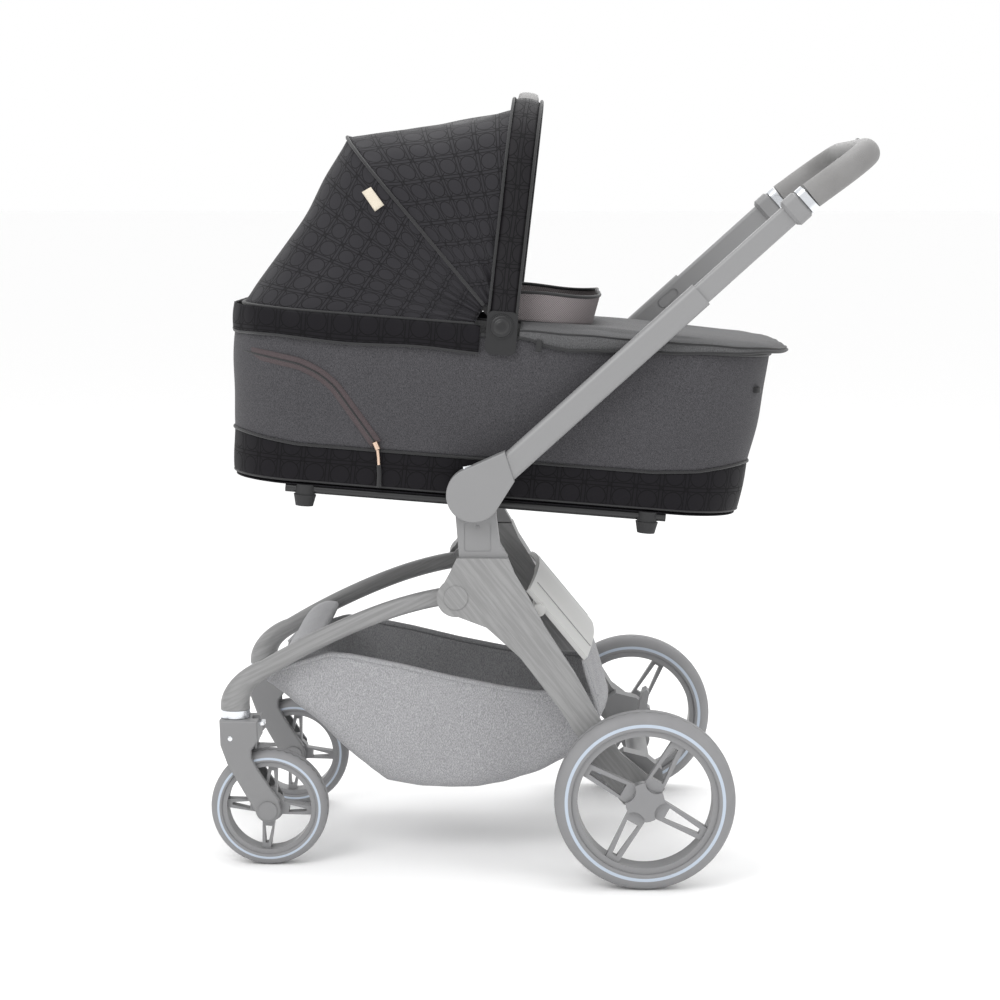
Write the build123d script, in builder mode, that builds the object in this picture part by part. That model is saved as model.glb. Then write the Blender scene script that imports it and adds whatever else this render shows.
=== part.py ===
from build123d import *
import os
from math import cos, radians, sin, tan

os.makedirs("parts", exist_ok=True)

# A pram: a folding chassis on four wheels with a lift-off carrycot.
# +Z is up, +X points to the handle and the foot end of the cot, the front wheels and the hood
# are at -X.  X = 0 is the middle of the overall length, Y = 0 the middle plane, Z = 0 the ground.
# "left" is -Y, the left hand of the person who pushes.  Millimetres and degrees throughout.

# ------------------------------------------------------------------ driving dimensions
fit_gap = 0.05              # radial clearance of a pin or shaft that runs in its bore
soft_gap = 0.4              # clearance between a soft piece and what it lies against
seat_gap = 0.15             # clearance between two rigid pieces that sit together

rear_wheel_r = 125
rear_wheel_w = 45
rear_wheel_y = 277          # middle of the tyre
rear_rim_r = 101            # where the tyre seats
rear_rim_wall = 8
rear_hub_r = 19
front_wheel_r = 84
front_wheel_w = 36
front_wheel_y = 166
front_rim_r = 67
front_rim_wall = 6.5
front_hub_r = 13
rear_axle_x = 145
wheelbase = 532
castor_trail = 48
axle_bolt_r = 6
front_bolt_r = 4.5

leg_tilt = 8.8             # each rear leg leans out towards its wheel
leg_ref_z = 420             # height at which the leaning leg stands at leg_ref_y
leg_ref_y = 190
leg_thick = 30
fold_pivot = (-118, 392)    # front leg pivot, X and Z
fold_pin_r = 8
front_leg_y = 165           # front leg eye
front_leg_w = 22
castor_head_r = 21
castor_stem_r = 6
castor_stem_len = 30        # inside the leg
castor_head_z = 226         # top of the bright collar
collar_h = 12

stalk_inner_y = 168
stalk_thick = 26
stalk_base_z = 449
arm_pivot = (-93, 540)      # handle arm pivot, X and Z
arm_pin_r = 8
arm_disc_r = 38
arm_disc_y = 195            # inner face of the arm's disc
arm_disc_t = 25
arm_angle = 42.2
arm_y = 206                 # middle of the arm tubes
arm_w = 22
arm_depth = 36
arm_start = 66              # along the arm, from its pivot
arm_drop = -4.3             # the tube's middle passes this far under the pivot
arm_seam_skew = -24
arm_end = 418
inner_tube_depth = 30
inner_tube_w = 16
bracket_at = 578
bracket_len = 26
bracket_depth = 42
bracket_w = 30
ring_len = 11
grip_angle = 36.3
grip_reach = 104            # from the ring to the middle of the crossbar
grip_bend_r = 62
grip_r = 19

cot_tilt = 4.45             # the cot stands a little higher at its head end
cot_origin = (-94, 528.5)   # middle of the cot's floor, X and Z
cot_h = 232
cot_wall = 8
cot_half_w_top = 185
cot_half_w_bottom = 155
cot_head_top = -362
cot_head_bottom = -352
cot_foot_top = 404
cot_foot_bottom = 378
hood_hinge = (20, 246)      # in the cot's own frame
hood_half_w = 184
hood_cloth = 5
hood_reach = {"rim": 372, "rib": 341, "bow": 304}
hood_angle = {"rim": 180, "rib": 134.5, "bow": 88}
bow_w = 40
bow_t = 8
hood_pin_r = 5
hood_pin_to = 168           # Y of the pin's inner end


# ------------------------------------------------------------------ frames and shared shapes
def at_y(y):
    """Upright lengthwise plane at Y = y: local x is X, local y is Z, the normal is -Y."""
    return Plane.XZ.offset(-y)


def write(piece, node):
    piece.part.label = node
    export_step(piece.part, f"parts/{node}.step")


def write_pair(left, node):
    write(left, f"{node}_left")
    with BuildPart() as right:
        mirror(left.part, about=Plane.XZ)
    write(right, f"{node}_right")


def write_both(left, node):
    """Both sides' pieces in one node, as two solids."""
    with BuildPart() as both:
        add(left.part)
        mirror(left.part, about=Plane.XZ)
    write(both, node)


def on_line(start, angle, along, across=0.0):
    """X, Z of a point that lies along a line at an angle, and across it to the upper left."""
    a = radians(angle)
    return (start[0] + along * cos(a) - across * sin(a), start[1] + along * sin(a) + across * cos(a))


def station(x, z, y, toward):
    """Plane square to the direction toward = (dx, dy, dz), with local x along Y."""
    return Plane(origin=(x, y, z), x_dir=(0, 1, 0), z_dir=toward)


def lofted_bar(stations):
    """Bar through (x, z, y, direction in degrees, width in Y, depth, corner radius)."""
    with BuildPart() as bar:
        for x, z, y, angle, width, depth, corner in stations:
            a = radians(angle)
            with BuildSketch(station(x, z, y, (cos(a), 0, sin(a)))):
                RectangleRounded(width, depth, corner)
        loft()
    return bar


rear_axle_z = rear_wheel_r
front_axle = (rear_axle_x - wheelbase, front_wheel_r)
castor_x = front_axle[0] - castor_trail
leg_plane = Plane(origin=(0, -leg_ref_y, leg_ref_z), x_dir=(1, 0, 0),
                  z_dir=(0, -cos(radians(leg_tilt)), sin(radians(leg_tilt))))
cot_x = (cos(radians(cot_tilt)), 0, -sin(radians(cot_tilt)))
cot_up = (sin(radians(cot_tilt)), 0, cos(radians(cot_tilt)))
cot_floor = Plane(origin=(cot_origin[0], 0, cot_origin[1]), x_dir=cot_x, z_dir=cot_up)


def leg_point(x, z):
    """Local point of the leaning leg plane that has this X and Z."""
    return (x, (z - leg_ref_z) / cos(radians(leg_tilt)))


def leg_y(z):
    """Y of the middle of the left leg at height z."""
    return -leg_ref_y - (leg_ref_z - z) * sin(radians(leg_tilt)) / cos(radians(leg_tilt))


def cot_side(y):
    """Lengthwise plane of the cot at Y = y: local x along the cot, local y up from its floor."""
    return Plane(origin=(cot_origin[0], y, cot_origin[1]), x_dir=cot_x, z_dir=(0, -1, 0))


def cot_point(x, y, z):
    return cot_floor.from_local_coords(Vector(x, y, z))


# ------------------------------------------------------------------ wheels
def tyre(centre, radius, width, seat_r, node):
    shoulder = width * 0.36
    with BuildPart() as ring:
        with BuildSketch(Plane(origin=centre, x_dir=(1, 0, 0), z_dir=(0, 0, 1))) as section:
            with Locations(((radius + seat_r) / 2, 0)):
                Rectangle(radius - seat_r, width)
            fillet(section.vertices().group_by(Axis.X)[-1], radius=shoulder)
            fillet(section.vertices().group_by(Axis.X)[0], radius=3)
        revolve(axis=Axis(centre, (0, 1, 0)))
    write(ring, node)


def rim(centre, seat_r, wall, width, hub_r, hub_w, bore_r, spokes, first_angle, outer, node):
    """Barrel, hub and looped spokes.  spokes = (base half width, tip half width, rib, thickness)."""
    base, tip, rib, thick = spokes
    inner_r = seat_r - wall
    mid = Plane(origin=centre, x_dir=(1, 0, 0), z_dir=(0, -1, 0))
    with BuildPart() as wheel:
        with BuildSketch(mid):
            Circle(seat_r - seat_gap)
            Circle(inner_r, mode=Mode.SUBTRACT)
        extrude(amount=width / 2, both=True)
        with BuildSketch(mid):
            Circle(hub_r)
        extrude(amount=hub_w / 2, both=True)
        with BuildSketch(mid.offset(outer)):
            Circle(hub_r + 8)
            with PolarLocations(0, 4, start_angle=first_angle):
                Polygon((0, -base), (inner_r + 2, -tip), (inner_r + 2, tip), (0, base), align=None)
        extrude(amount=thick)
        with BuildSketch(mid.offset(outer)):
            with PolarLocations(0, 4, start_angle=first_angle):
                Polygon((hub_r + 15, -base + rib), (inner_r - 7, -tip + rib),
                        (inner_r - 7, tip - rib), (hub_r + 15, base - rib), align=None)
        extrude(amount=thick, mode=Mode.SUBTRACT)
        with BuildSketch(mid.offset(-hub_w)):
            Circle(bore_r)
        extrude(amount=2 * hub_w, mode=Mode.SUBTRACT)
    write(wheel, node)


def hub_cap(centre, y_face, first_angle, side, node):
    """Four-pointed cap that fills the hollows between the spokes."""
    face = Plane(origin=(centre[0], y_face, centre[2]), x_dir=(1, 0, 0), z_dir=(0, side, 0))
    with BuildPart() as cap:
        with BuildSketch(face):
            Circle(rear_hub_r + 8)
            with PolarLocations(rear_hub_r + 14, 4, start_angle=-side * first_angle):
                Circle(16, mode=Mode.SUBTRACT)
        extrude(amount=4)
    write(cap, node)


for side, name in ((-1, "left"), (1, "right")):
    rear_centre = (rear_axle_x, side * rear_wheel_y, rear_axle_z)
    spoke_thick = 12
    spoke_at = 2 if side < 0 else -2 - spoke_thick
    tyre(rear_centre, rear_wheel_r, rear_wheel_w, rear_rim_r, f"rear_tyre_{name}")
    rim(rear_centre, rear_rim_r, rear_rim_wall, rear_wheel_w - 9, rear_hub_r, rear_wheel_w - 13,
        axle_bolt_r + fit_gap, (15, 9.5, 6, spoke_thick), 61, spoke_at, f"rear_rim_{name}")
    hub_cap(rear_centre, side * (rear_wheel_y + (rear_wheel_w - 13) / 2 + seat_gap), 61, side,
            f"rear_hub_cap_{name}")
    front_centre = (front_axle[0], side * front_wheel_y, front_axle[1])
    tyre(front_centre, front_wheel_r, front_wheel_w, front_rim_r, f"front_tyre_{name}")
    rim(front_centre, front_rim_r, front_rim_wall, front_wheel_w - 6, front_hub_r, front_wheel_w + 1,
        front_bolt_r + fit_gap, (10, 6, 4.2, 16), 85, -8, f"front_rim_{name}")

# ------------------------------------------------------------------ rear legs
# Flat side profile in the leaning plane: a body under the stalk, a round boss over the front
# leg's pivot, and the leg that runs down and back to the axle.
leg_outline = [(-116, stalk_base_z), (-128, 425), (-143, 398), (-138, 374), (-105, 362), (-75, 351),
               (-28, 310), (28, 239), (62, 188), (96, 132), (118, 108), (150, 103), (167, 125),
               (152, 148), (112, 180), (85, 225), (49, 289), (7, 352), (-20, 400), (-36, 426),
               (-46, stalk_base_z)]
with BuildPart() as rear_leg:
    with BuildSketch(leg_plane):
        Polygon(*[leg_point(x, z) for x, z in leg_outline], align=None)
        with Locations(leg_point(*fold_pivot)):
            Circle(27)
    extrude(amount=leg_thick / 2, both=True)
    fillet(rear_leg.faces().sort_by(Axis.Y)[0].edges(), radius=7)
    with BuildSketch(Plane.XY.offset(stalk_base_z)):
        Rectangle(400, 600)
    extrude(amount=60, mode=Mode.SUBTRACT)
    with BuildSketch(at_y(leg_y(fold_pivot[1]))):
        with Locations(fold_pivot):
            Circle(fold_pin_r)
    extrude(amount=-(abs(leg_y(fold_pivot[1])) - front_leg_y + front_leg_w / 2 - 1))
    with BuildSketch(at_y(leg_y(rear_axle_z))):
        with Locations((rear_axle_x, rear_axle_z)):
            Circle(axle_bolt_r)
    extrude(amount=rear_wheel_y - abs(leg_y(rear_axle_z)) + 15)
write_pair(rear_leg, "rear_leg")

with BuildPart() as pivot_cap:
    with BuildSketch(leg_plane.offset(leg_thick / 2 + 0.05)):
        with Locations(leg_point(*fold_pivot)):
            Circle(17)
    extrude(amount=1.6)
    chamfer(pivot_cap.faces().sort_by(Axis.Y)[0].edges(), length=0.7)
write_both(pivot_cap, "pivot_caps")

# ------------------------------------------------------------------ stalks under the handle pivots
# Upright post with a round head: a pin for the arm outside, a slot for the cot's tongue inside.
tongue_half = 13
tongue_reach = 9.5
tongue_low = 484
stalk_outer_y = stalk_inner_y + stalk_thick
with BuildPart() as stalk:
    with BuildSketch(at_y(-stalk_inner_y)):
        Polygon((-114, stalk_base_z), (-119, 510), (arm_pivot[0] - arm_disc_r + 6, arm_pivot[1] - 14),
                (arm_pivot[0] + arm_disc_r - 8, arm_pivot[1] - 14), (-62, 505), (-57, 468),
                (-46, stalk_base_z), align=None)
        with Locations(arm_pivot):
            Circle(arm_disc_r - 2)
    extrude(amount=stalk_thick)
    with BuildSketch(at_y(-stalk_outer_y)):
        with Locations((-88, 478)):
            RectangleRounded(38, 40, 4)
    extrude(amount=-1.2, mode=Mode.SUBTRACT)
    with BuildSketch(at_y(-stalk_inner_y)):
        with Locations((cot_origin[0], tongue_low + 60)):
            Rectangle(2 * tongue_half + 1, 120)
    extrude(amount=tongue_reach + 0.5, mode=Mode.SUBTRACT)
    with BuildSketch(at_y(-stalk_outer_y)):
        with Locations(arm_pivot):
            Circle(arm_pin_r)
    extrude(amount=arm_disc_y - stalk_outer_y + arm_disc_t - 4)
write_pair(stalk, "stalk")

# ------------------------------------------------------------------ rear axle, brake, rear panel
axle_beam_r = 16
leg_inner = abs(leg_y(rear_axle_z)) - leg_thick / 2 / cos(radians(leg_tilt))
beam_half = leg_inner - axle_beam_r * tan(radians(leg_tilt)) - seat_gap
with BuildPart() as rear_axle:
    with BuildSketch(at_y(beam_half)):
        with Locations((rear_axle_x, rear_axle_z)):
            Circle(axle_beam_r)
    extrude(amount=2 * beam_half)
write(rear_axle, "rear_axle")

# Brake housing: a block clamped on the beam beside each leg.
housing_y = 178
housing_w = 30
with BuildPart() as brake_housing:
    with BuildSketch(at_y(-housing_y)):
        Polygon((100, 150), (104, 166), (118, 176), (150, 168), (172, 150), (176, 122), (160, 98),
                (132, 100), (112, 124), align=None)
        with Locations((rear_axle_x, rear_axle_z)):
            Circle(axle_beam_r + fit_gap, mode=Mode.SUBTRACT)
    extrude(amount=housing_w)
write_both(brake_housing, "brake_housings")

# Brake pedal: a ring that turns on the beam, with a lever up and to the rear.
pedal_y = 120
pedal_w = 34
with BuildPart() as brake_pedal:
    with BuildSketch(at_y(pedal_y)):
        with Locations((rear_axle_x, rear_axle_z)):
            Circle(axle_beam_r + 6)
        Polygon((140, 138), (150, 172), (156, 198), (162, 201), (166, 196), (163, 178), (168, 142),
                align=None)
        with Locations((rear_axle_x, rear_axle_z)):
            Circle(axle_beam_r + fit_gap, mode=Mode.SUBTRACT)
    extrude(amount=pedal_w)
write(brake_pedal, "brake_pedal")

# Rear panel: a crowned cover between the legs, over a round cross bar, with a cloth skirt below.
bar_at = (-2, 372)
bar_r = 9
bar_half = abs(leg_y(bar_at[1])) - leg_thick / 2 / cos(radians(leg_tilt)) - 1.5
panel_top = (-20, 398)
panel_angle = -50.5
panel_len = 128
panel_half = 172
panel_crown = -16          # bulges to the rear
panel_t = 7
skirt_angle = -74
skirt_len = 84
skirt_t = 4


def crowned(plane, half, crown, thickness):
    """Crowned strip across the width: local x is Y, bulging along local y."""
    with BuildSketch(plane) as strip:
        with BuildLine():
            top = ThreePointArc((-half, 0), (0, crown), (half, 0))
            side_a = Line(top @ 1, (half, -thickness))
            low = ThreePointArc(side_a @ 1, (0, crown - thickness), (-half, -thickness))
            Line(low @ 1, top @ 0)
        make_face()
    return strip.sketch


def down_plane(point, angle):
    """Plane square to a downward run, with local x along Y and local y down and to the front."""
    a = radians(angle)
    return Plane(origin=(point[0], 0, point[1]), x_dir=(0, -1, 0), z_dir=(cos(a), 0, sin(a)))


with BuildPart() as rear_panel:
    extrude(crowned(down_plane(panel_top, panel_angle), panel_half, panel_crown, panel_t),
            amount=panel_len)
    with BuildSketch(at_y(bar_half)):
        with Locations(bar_at):
            Circle(bar_r)
    extrude(amount=2 * bar_half)
write(rear_panel, "rear_panel")

panel_end = on_line(panel_top, panel_angle, panel_len + seat_gap)
with BuildPart() as rear_skirt:
    extrude(crowned(down_plane(panel_end, skirt_angle), panel_half, panel_crown, skirt_t),
            amount=skirt_len)
    split(bisect_by=down_plane(panel_end, panel_angle), keep=Keep.TOP)
write(rear_skirt, "rear_skirt")

# ------------------------------------------------------------------ front legs and cross tube
# One drawn tube a side: a round foot over the castor, a tight elbow, a long easy arch to the pivot.
leg_tube = (22, 25, 9)
leg_elbow = [(castor_x, castor_head_z + seat_gap, 90, 42, 42, 20.5),
             (castor_x + 4, 250, 72, 37, 37, 17), (castor_x + 20, 270, 46, 28, 30, 12),
             (castor_x + 43, 284, 30, *leg_tube)]
leg_arch = [leg_elbow[-1][:2], (-343, 312), (-271, 347), (-200, 374), (-126, 391)]
with BuildPart() as front_leg:
    add(lofted_bar([(x, z, -front_wheel_y, *rest) for x, z, *rest in leg_elbow]).part)
    with BuildLine(at_y(-front_wheel_y)):
        arch_line = Spline(*leg_arch)
    with BuildSketch(station(*leg_arch[0], -front_wheel_y, arch_line % 0)):
        RectangleRounded(*leg_tube)
    sweep()
    with BuildSketch(at_y(-front_leg_y + front_leg_w / 2)):
        with Locations(fold_pivot):
            Circle(20)
    extrude(amount=front_leg_w)
    with BuildSketch(at_y(-front_leg_y + front_leg_w)):
        with Locations(fold_pivot):
            Circle(fold_pin_r + fit_gap)
    extrude(amount=2 * front_leg_w, mode=Mode.SUBTRACT)
    with BuildSketch(Plane.XY.offset(castor_head_z)):
        with Locations((castor_x, -front_wheel_y)):
            Circle(castor_stem_r + fit_gap)
    extrude(amount=castor_stem_len + 0.5, mode=Mode.SUBTRACT)
write_pair(front_leg, "front_leg")

cross_at = (-340, 311)
cross_r = 9
cross_half = front_wheel_y - leg_tube[0] / 2 - seat_gap
with BuildPart() as cross_tube:
    with BuildSketch(at_y(cross_half)):
        with Locations(cross_at):
            Circle(cross_r)
    extrude(amount=2 * cross_half)
write(cross_tube, "cross_tube")

# Padded sleeve round the cross tube, a flattened oval that leans with the legs.
sleeve_half = 146
with BuildPart() as cross_sleeve:
    with BuildSketch(at_y(sleeve_half)):
        with Locations(Location((*cross_at, 0), (0, 0, 32))):
            Ellipse(30, 17)
        with Locations(cross_at):
            Circle(cross_r + fit_gap, mode=Mode.SUBTRACT)
    extrude(amount=2 * sleeve_half)
write(cross_sleeve, "cross_sleeve")

with BuildPart() as castor_collar:
    with BuildSketch(Plane.XY.offset(castor_head_z - collar_h)):
        with Locations((castor_x, -front_wheel_y)):
            Circle(castor_head_r)
            Circle(castor_stem_r + fit_gap, mode=Mode.SUBTRACT)
    extrude(amount=collar_h)
    chamfer(castor_collar.edges().filter_by(GeomType.CIRCLE).sort_by(SortBy.RADIUS)[-2:], length=0.6)
write_both(castor_collar, "castor_collars")

# ------------------------------------------------------------------ castor forks
lock_x = castor_x + 33
lock_z = 203
lock_len = 18
lock_w = 20
lock_t = 4.5
fork_top = castor_head_z - collar_h - 0.3
fork_half_w = 29
wheel_room = 1.5
fork_outline = [(-455, fork_top), (-401, fork_top), (-400, 184), (-410, 171), (-410, 159), (-401, 142),
                (-371, 97), (-373, 76), (-387, 70), (-402, 76), (-444, 150), (-454, 178)]
with BuildPart() as fork:
    with BuildSketch(at_y(-front_wheel_y + fork_half_w)):
        Polygon(*fork_outline, align=None)
        with Locations(front_axle):
            Circle(18)
    extrude(amount=2 * fork_half_w)
    with BuildSketch(at_y(-front_wheel_y + front_wheel_w / 2 + wheel_room)):
        with Locations(front_axle):
            Circle(front_wheel_r + 4)
    extrude(amount=front_wheel_w + 2 * wheel_room, mode=Mode.SUBTRACT)
    fillet(fork.faces().sort_by(Axis.Y)[0].edges(), radius=3)
    fillet(fork.faces().sort_by(Axis.Y)[-1].edges(), radius=3)
    with BuildSketch(at_y(-front_wheel_y + fork_half_w)):
        with Locations(front_axle):
            Circle(front_bolt_r + 0.02)
    extrude(amount=2 * fork_half_w, mode=Mode.SUBTRACT)
    with BuildSketch(Plane.XY.offset(fork_top)):
        with Locations((castor_x, -front_wheel_y)):
            Circle(castor_stem_r)
    extrude(amount=collar_h + castor_stem_len)
    with BuildSketch(Plane.XY.offset(lock_z)):
        with Locations((lock_x, -front_wheel_y)):
            Rectangle(lock_len + 1, lock_w + 1)
    extrude(amount=40, mode=Mode.SUBTRACT)
write_pair(fork, "castor_fork")

with BuildPart() as front_axle_bolt:
    with BuildSketch(at_y(-front_wheel_y + fork_half_w + 2)):
        with Locations(front_axle):
            Circle(front_bolt_r)
    extrude(amount=2 * fork_half_w + 4)
    with BuildSketch(at_y(-front_wheel_y - fork_half_w - seat_gap)):
        with Locations(front_axle):
            Circle(13)
    extrude(amount=2.4)
    with BuildSketch(at_y(-front_wheel_y + fork_half_w + seat_gap)):
        with Locations(front_axle):
            Circle(13)
    extrude(amount=-2.4)
write_pair(front_axle_bolt, "front_axle")

with BuildPart() as swivel_lock:
    with BuildSketch(Plane.XY.offset(lock_z + 0.5)):
        with Locations((lock_x, -front_wheel_y)):
            RectangleRounded(lock_len, lock_w, 3)
    extrude(amount=lock_t)
write_pair(swivel_lock, "swivel_lock")

# ------------------------------------------------------------------ handle arms
along_arm = (cos(radians(arm_angle)), 0, sin(radians(arm_angle)))


def arm_plane(along):
    """Plane square to the arm, at a distance from its pivot: local x is Y, local y across it."""
    x, z = on_line(arm_pivot, arm_angle, along, arm_drop)
    return Plane(origin=(x, -arm_y, z), x_dir=(0, -1, 0), z_dir=along_arm)


button_angle = 102
button_len = 14
button_w = 9
button_out = (cos(radians(button_angle)), 0, sin(radians(button_angle)))
button_plane = Plane(origin=(arm_pivot[0] + arm_disc_r * button_out[0], -arm_disc_y - 9,
                             arm_pivot[1] + arm_disc_r * button_out[2]),
                     x_dir=(0, 1, 0), z_dir=button_out)
seam_tan = sin(radians(-arm_seam_skew)) / cos(radians(arm_seam_skew))


def seam_point(across, gap=0.0):
    return on_line(arm_pivot, arm_angle, arm_start + across * seam_tan + gap, across)


# Round knuckle over the pivot that runs out into a neck; the tube starts at an oblique seam.
with BuildPart() as arm_hub:
    with BuildSketch(at_y(-arm_disc_y)):
        with Locations(arm_pivot):
            Circle(arm_disc_r)
        Polygon(seam_point(arm_depth / 2 - 2), seam_point(arm_drop - arm_depth / 2 - 1.5),
                on_line(arm_pivot, arm_angle, arm_start - 25), align=None)
        make_hull()
    extrude(amount=arm_disc_t)
    fillet(arm_hub.faces().sort_by(Axis.Y)[0].edges(), radius=2)
    with BuildSketch(at_y(-arm_disc_y)):
        with Locations(arm_pivot):
            Circle(arm_pin_r + fit_gap)
    extrude(amount=arm_disc_t - 3.5, mode=Mode.SUBTRACT)
    with BuildSketch(button_plane):
        Rectangle(button_w + 1, button_len + 1)
    extrude(amount=12, both=True, mode=Mode.SUBTRACT)
write_pair(arm_hub, "arm_hub")

with BuildPart() as release_button:
    with BuildSketch(button_plane.offset(-8.5)):
        RectangleRounded(button_w, button_len, 3)
    extrude(amount=11.5)
write_pair(release_button, "release_button")

slider_at = 384
slider_len = 24
slider_w = 14
slider_t = 1.6
slider_travel = 10


def slider_plane(y):
    x, z = on_line(arm_pivot, arm_angle, slider_at, arm_drop)
    return Plane(origin=(x, y, z), x_dir=along_arm, z_dir=(0, -1, 0))


seam_x, seam_z = seam_point(arm_drop, seat_gap)
seam_angle = radians(arm_angle + arm_seam_skew)
with BuildPart() as outer_tube:
    with BuildSketch(arm_plane(arm_start - 30)):
        RectangleRounded(arm_w, arm_depth, 8)
    extrude(amount=arm_end - arm_start + 30)
    split(bisect_by=Plane(origin=(seam_x, 0, seam_z), x_dir=(0, 1, 0),
                          z_dir=(cos(seam_angle), 0, sin(seam_angle))), keep=Keep.TOP)
    with BuildSketch(arm_plane(arm_start - 30)):
        RectangleRounded(inner_tube_w + 2 * fit_gap, inner_tube_depth + 2 * fit_gap, 5)
    extrude(amount=arm_end, mode=Mode.SUBTRACT)
    with BuildSketch(slider_plane(-arm_y + arm_w / 2)):
        SlotOverall(slider_len + slider_travel + 4, slider_w + 1)
    extrude(amount=slider_t + 0.2, mode=Mode.SUBTRACT)
write_pair(outer_tube, "outer_tube")

with BuildPart() as fold_slider:
    with BuildSketch(slider_plane(-arm_y + arm_w / 2)):
        with Locations((-slider_travel / 2, 0)):
            SlotOverall(slider_len, slider_w)
    extrude(amount=slider_t)
write_pair(fold_slider, "fold_slider")

# ------------------------------------------------------------------ telescoping upper handle
tube_inside = 165           # length of inner tube inside the outer tube
with BuildPart() as inner_tube:
    with BuildSketch(arm_plane(arm_end - tube_inside)):
        RectangleRounded(inner_tube_w, inner_tube_depth, 5)
    extrude(amount=bracket_at + 6 - arm_end + tube_inside)
write_both(inner_tube, "inner_tubes")

with BuildPart() as handle_bracket:
    with BuildSketch(arm_plane(bracket_at)):
        RectangleRounded(bracket_w, bracket_depth, 10)
    extrude(amount=bracket_len)
    chamfer(handle_bracket.faces().sort_by(Axis.X)[0].edges(), length=4)
    with BuildSketch(arm_plane(bracket_at)):
        RectangleRounded(inner_tube_w + 2 * fit_gap, inner_tube_depth + 2 * fit_gap, 5)
    extrude(amount=6 + seat_gap, mode=Mode.SUBTRACT)
write_both(handle_bracket, "handle_brackets")

ring_at = bracket_at + bracket_len + seat_gap
with BuildPart() as handle_ring:
    with BuildSketch(arm_plane(ring_at)):
        RectangleRounded(bracket_w - 1, bracket_depth - 3, 11)
    extrude(amount=ring_len)
write_both(handle_ring, "handle_rings")

# One padded tube bent into a U, in a plane that lies flatter than the arms.
grip_start = on_line(arm_pivot, arm_angle, ring_at + ring_len + 2, arm_drop)
grip_plane = Plane(origin=(grip_start[0], 0, grip_start[1]), x_dir=(0, 1, 0),
                   z_dir=(sin(radians(grip_angle)), 0, -cos(radians(grip_angle))))
bar_centre = on_line(grip_start, grip_angle, grip_reach)
height_angle = 62
height_out = (cos(radians(height_angle)), 0, sin(radians(height_angle)))
height_plane = Plane(origin=(bar_centre[0] + grip_r * height_out[0], 0,
                             bar_centre[1] + grip_r * height_out[2]),
                     x_dir=(0, 1, 0), z_dir=height_out)
button_size = (30, 13, 6)
with BuildPart() as grip:
    with BuildLine(grip_plane) as grip_path:
        FilletPolyline((-arm_y, 0), (-arm_y, grip_reach), (arm_y, grip_reach), (arm_y, 0),
                       radius=grip_bend_r)
    with BuildSketch(Plane(origin=(grip_start[0], -arm_y, grip_start[1]), x_dir=(0, 1, 0),
                           z_dir=(cos(radians(grip_angle)), 0, sin(radians(grip_angle))))):
        Ellipse(grip_r - 3, grip_r)
    sweep()
    split(bisect_by=Plane(origin=(grip_start[0], 0, grip_start[1]), x_dir=(0, 1, 0),
                          z_dir=along_arm), keep=Keep.TOP)
    with BuildSketch(height_plane):
        RectangleRounded(button_size[0] + 1, button_size[1] + 1, button_size[2])
    extrude(amount=-10, mode=Mode.SUBTRACT)
write(grip, "grip")

bezel_t = 2.5
bezel_half = 42
with BuildPart() as grip_bezel:
    with BuildSketch(at_y(bezel_half)):
        with Locations(bar_centre):
            Circle(grip_r + bezel_t)
            Circle(grip_r + 0.1, mode=Mode.SUBTRACT)
        with Locations(on_line(bar_centre, grip_angle + 55, -40)):
            Circle(38, mode=Mode.INTERSECT)
    extrude(amount=2 * bezel_half)
write(grip_bezel, "grip_bezel")

with BuildPart() as height_button:
    with BuildSketch(height_plane.offset(-6)):
        RectangleRounded(*button_size)
    extrude(amount=8)
write(height_button, "height_button")

# ------------------------------------------------------------------ basket
# Cloth tub hung from the sleeve and the rear panel; open along its sloping rim.
basket_half = 149
basket_low_half = 108
basket_wall = 3
basket_outline = [(-393, 258), (-378, 277), (-345, 289), (-331, 294), (-302, 303), (-14, 250),
                  (50, 246), (79.8, 246), (87.8, 217.5), (74, 168), (20, 141),
                  (-57, 114), (-93, 107), (-172, 108),
                  (-222, 115), (-272, 154), (-343, 221)]
with BuildPart() as basket:
    with BuildSketch(at_y(basket_half)):
        Polygon(*basket_outline, align=None)
    extrude(amount=2 * basket_half)
    with BuildSketch(Plane.YZ.offset(-450)):
        Polygon((-basket_half, 320), (-basket_half, 215), (-basket_low_half - 14, 124),
                (-basket_low_half + 6, 106), (basket_low_half - 6, 106), (basket_low_half + 14, 124),
                (basket_half, 215), (basket_half, 320), align=None)
    extrude(amount=600, mode=Mode.INTERSECT)
    offset(amount=-basket_wall, openings=basket.faces().filter_by(
        lambda face: face.normal_at().Z > 0.9 and face.center().X > -300))
write(basket, "basket")

# ------------------------------------------------------------------ carrycot
cot_cx_top = (cot_head_top + cot_foot_top) / 2
cot_len_top = cot_foot_top - cot_head_top
cot_cx_bottom = (cot_head_bottom + cot_foot_bottom) / 2
cot_len_bottom = cot_foot_bottom - cot_head_bottom
cot_corner_top = 118
cot_corner_bottom = 96


def cot_section(height, inset):
    """Rounded outline of the tub at a height above its floor, drawn in by inset."""
    t = height / cot_h
    length = cot_len_bottom + t * (cot_len_top - cot_len_bottom) - 2 * inset
    width = 2 * (cot_half_w_bottom + t * (cot_half_w_top - cot_half_w_bottom) - inset)
    corner = cot_corner_bottom + t * (cot_corner_top - cot_corner_bottom) - inset
    with BuildSketch(cot_floor.offset(height)) as outline:
        with Locations((cot_cx_bottom + t * (cot_cx_top - cot_cx_bottom), 0)):
            RectangleRounded(length, width, corner)
    return outline.sketch


with BuildPart() as cot_tub:
    loft([cot_section(0, 0), cot_section(cot_h, 0)])
    fillet(cot_tub.faces().sort_by(Axis.Z)[0].edges(), radius=7)
    loft([cot_section(cot_wall, cot_wall), cot_section(cot_h, cot_wall)], mode=Mode.SUBTRACT)
write(cot_tub, "cot_tub")

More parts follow.
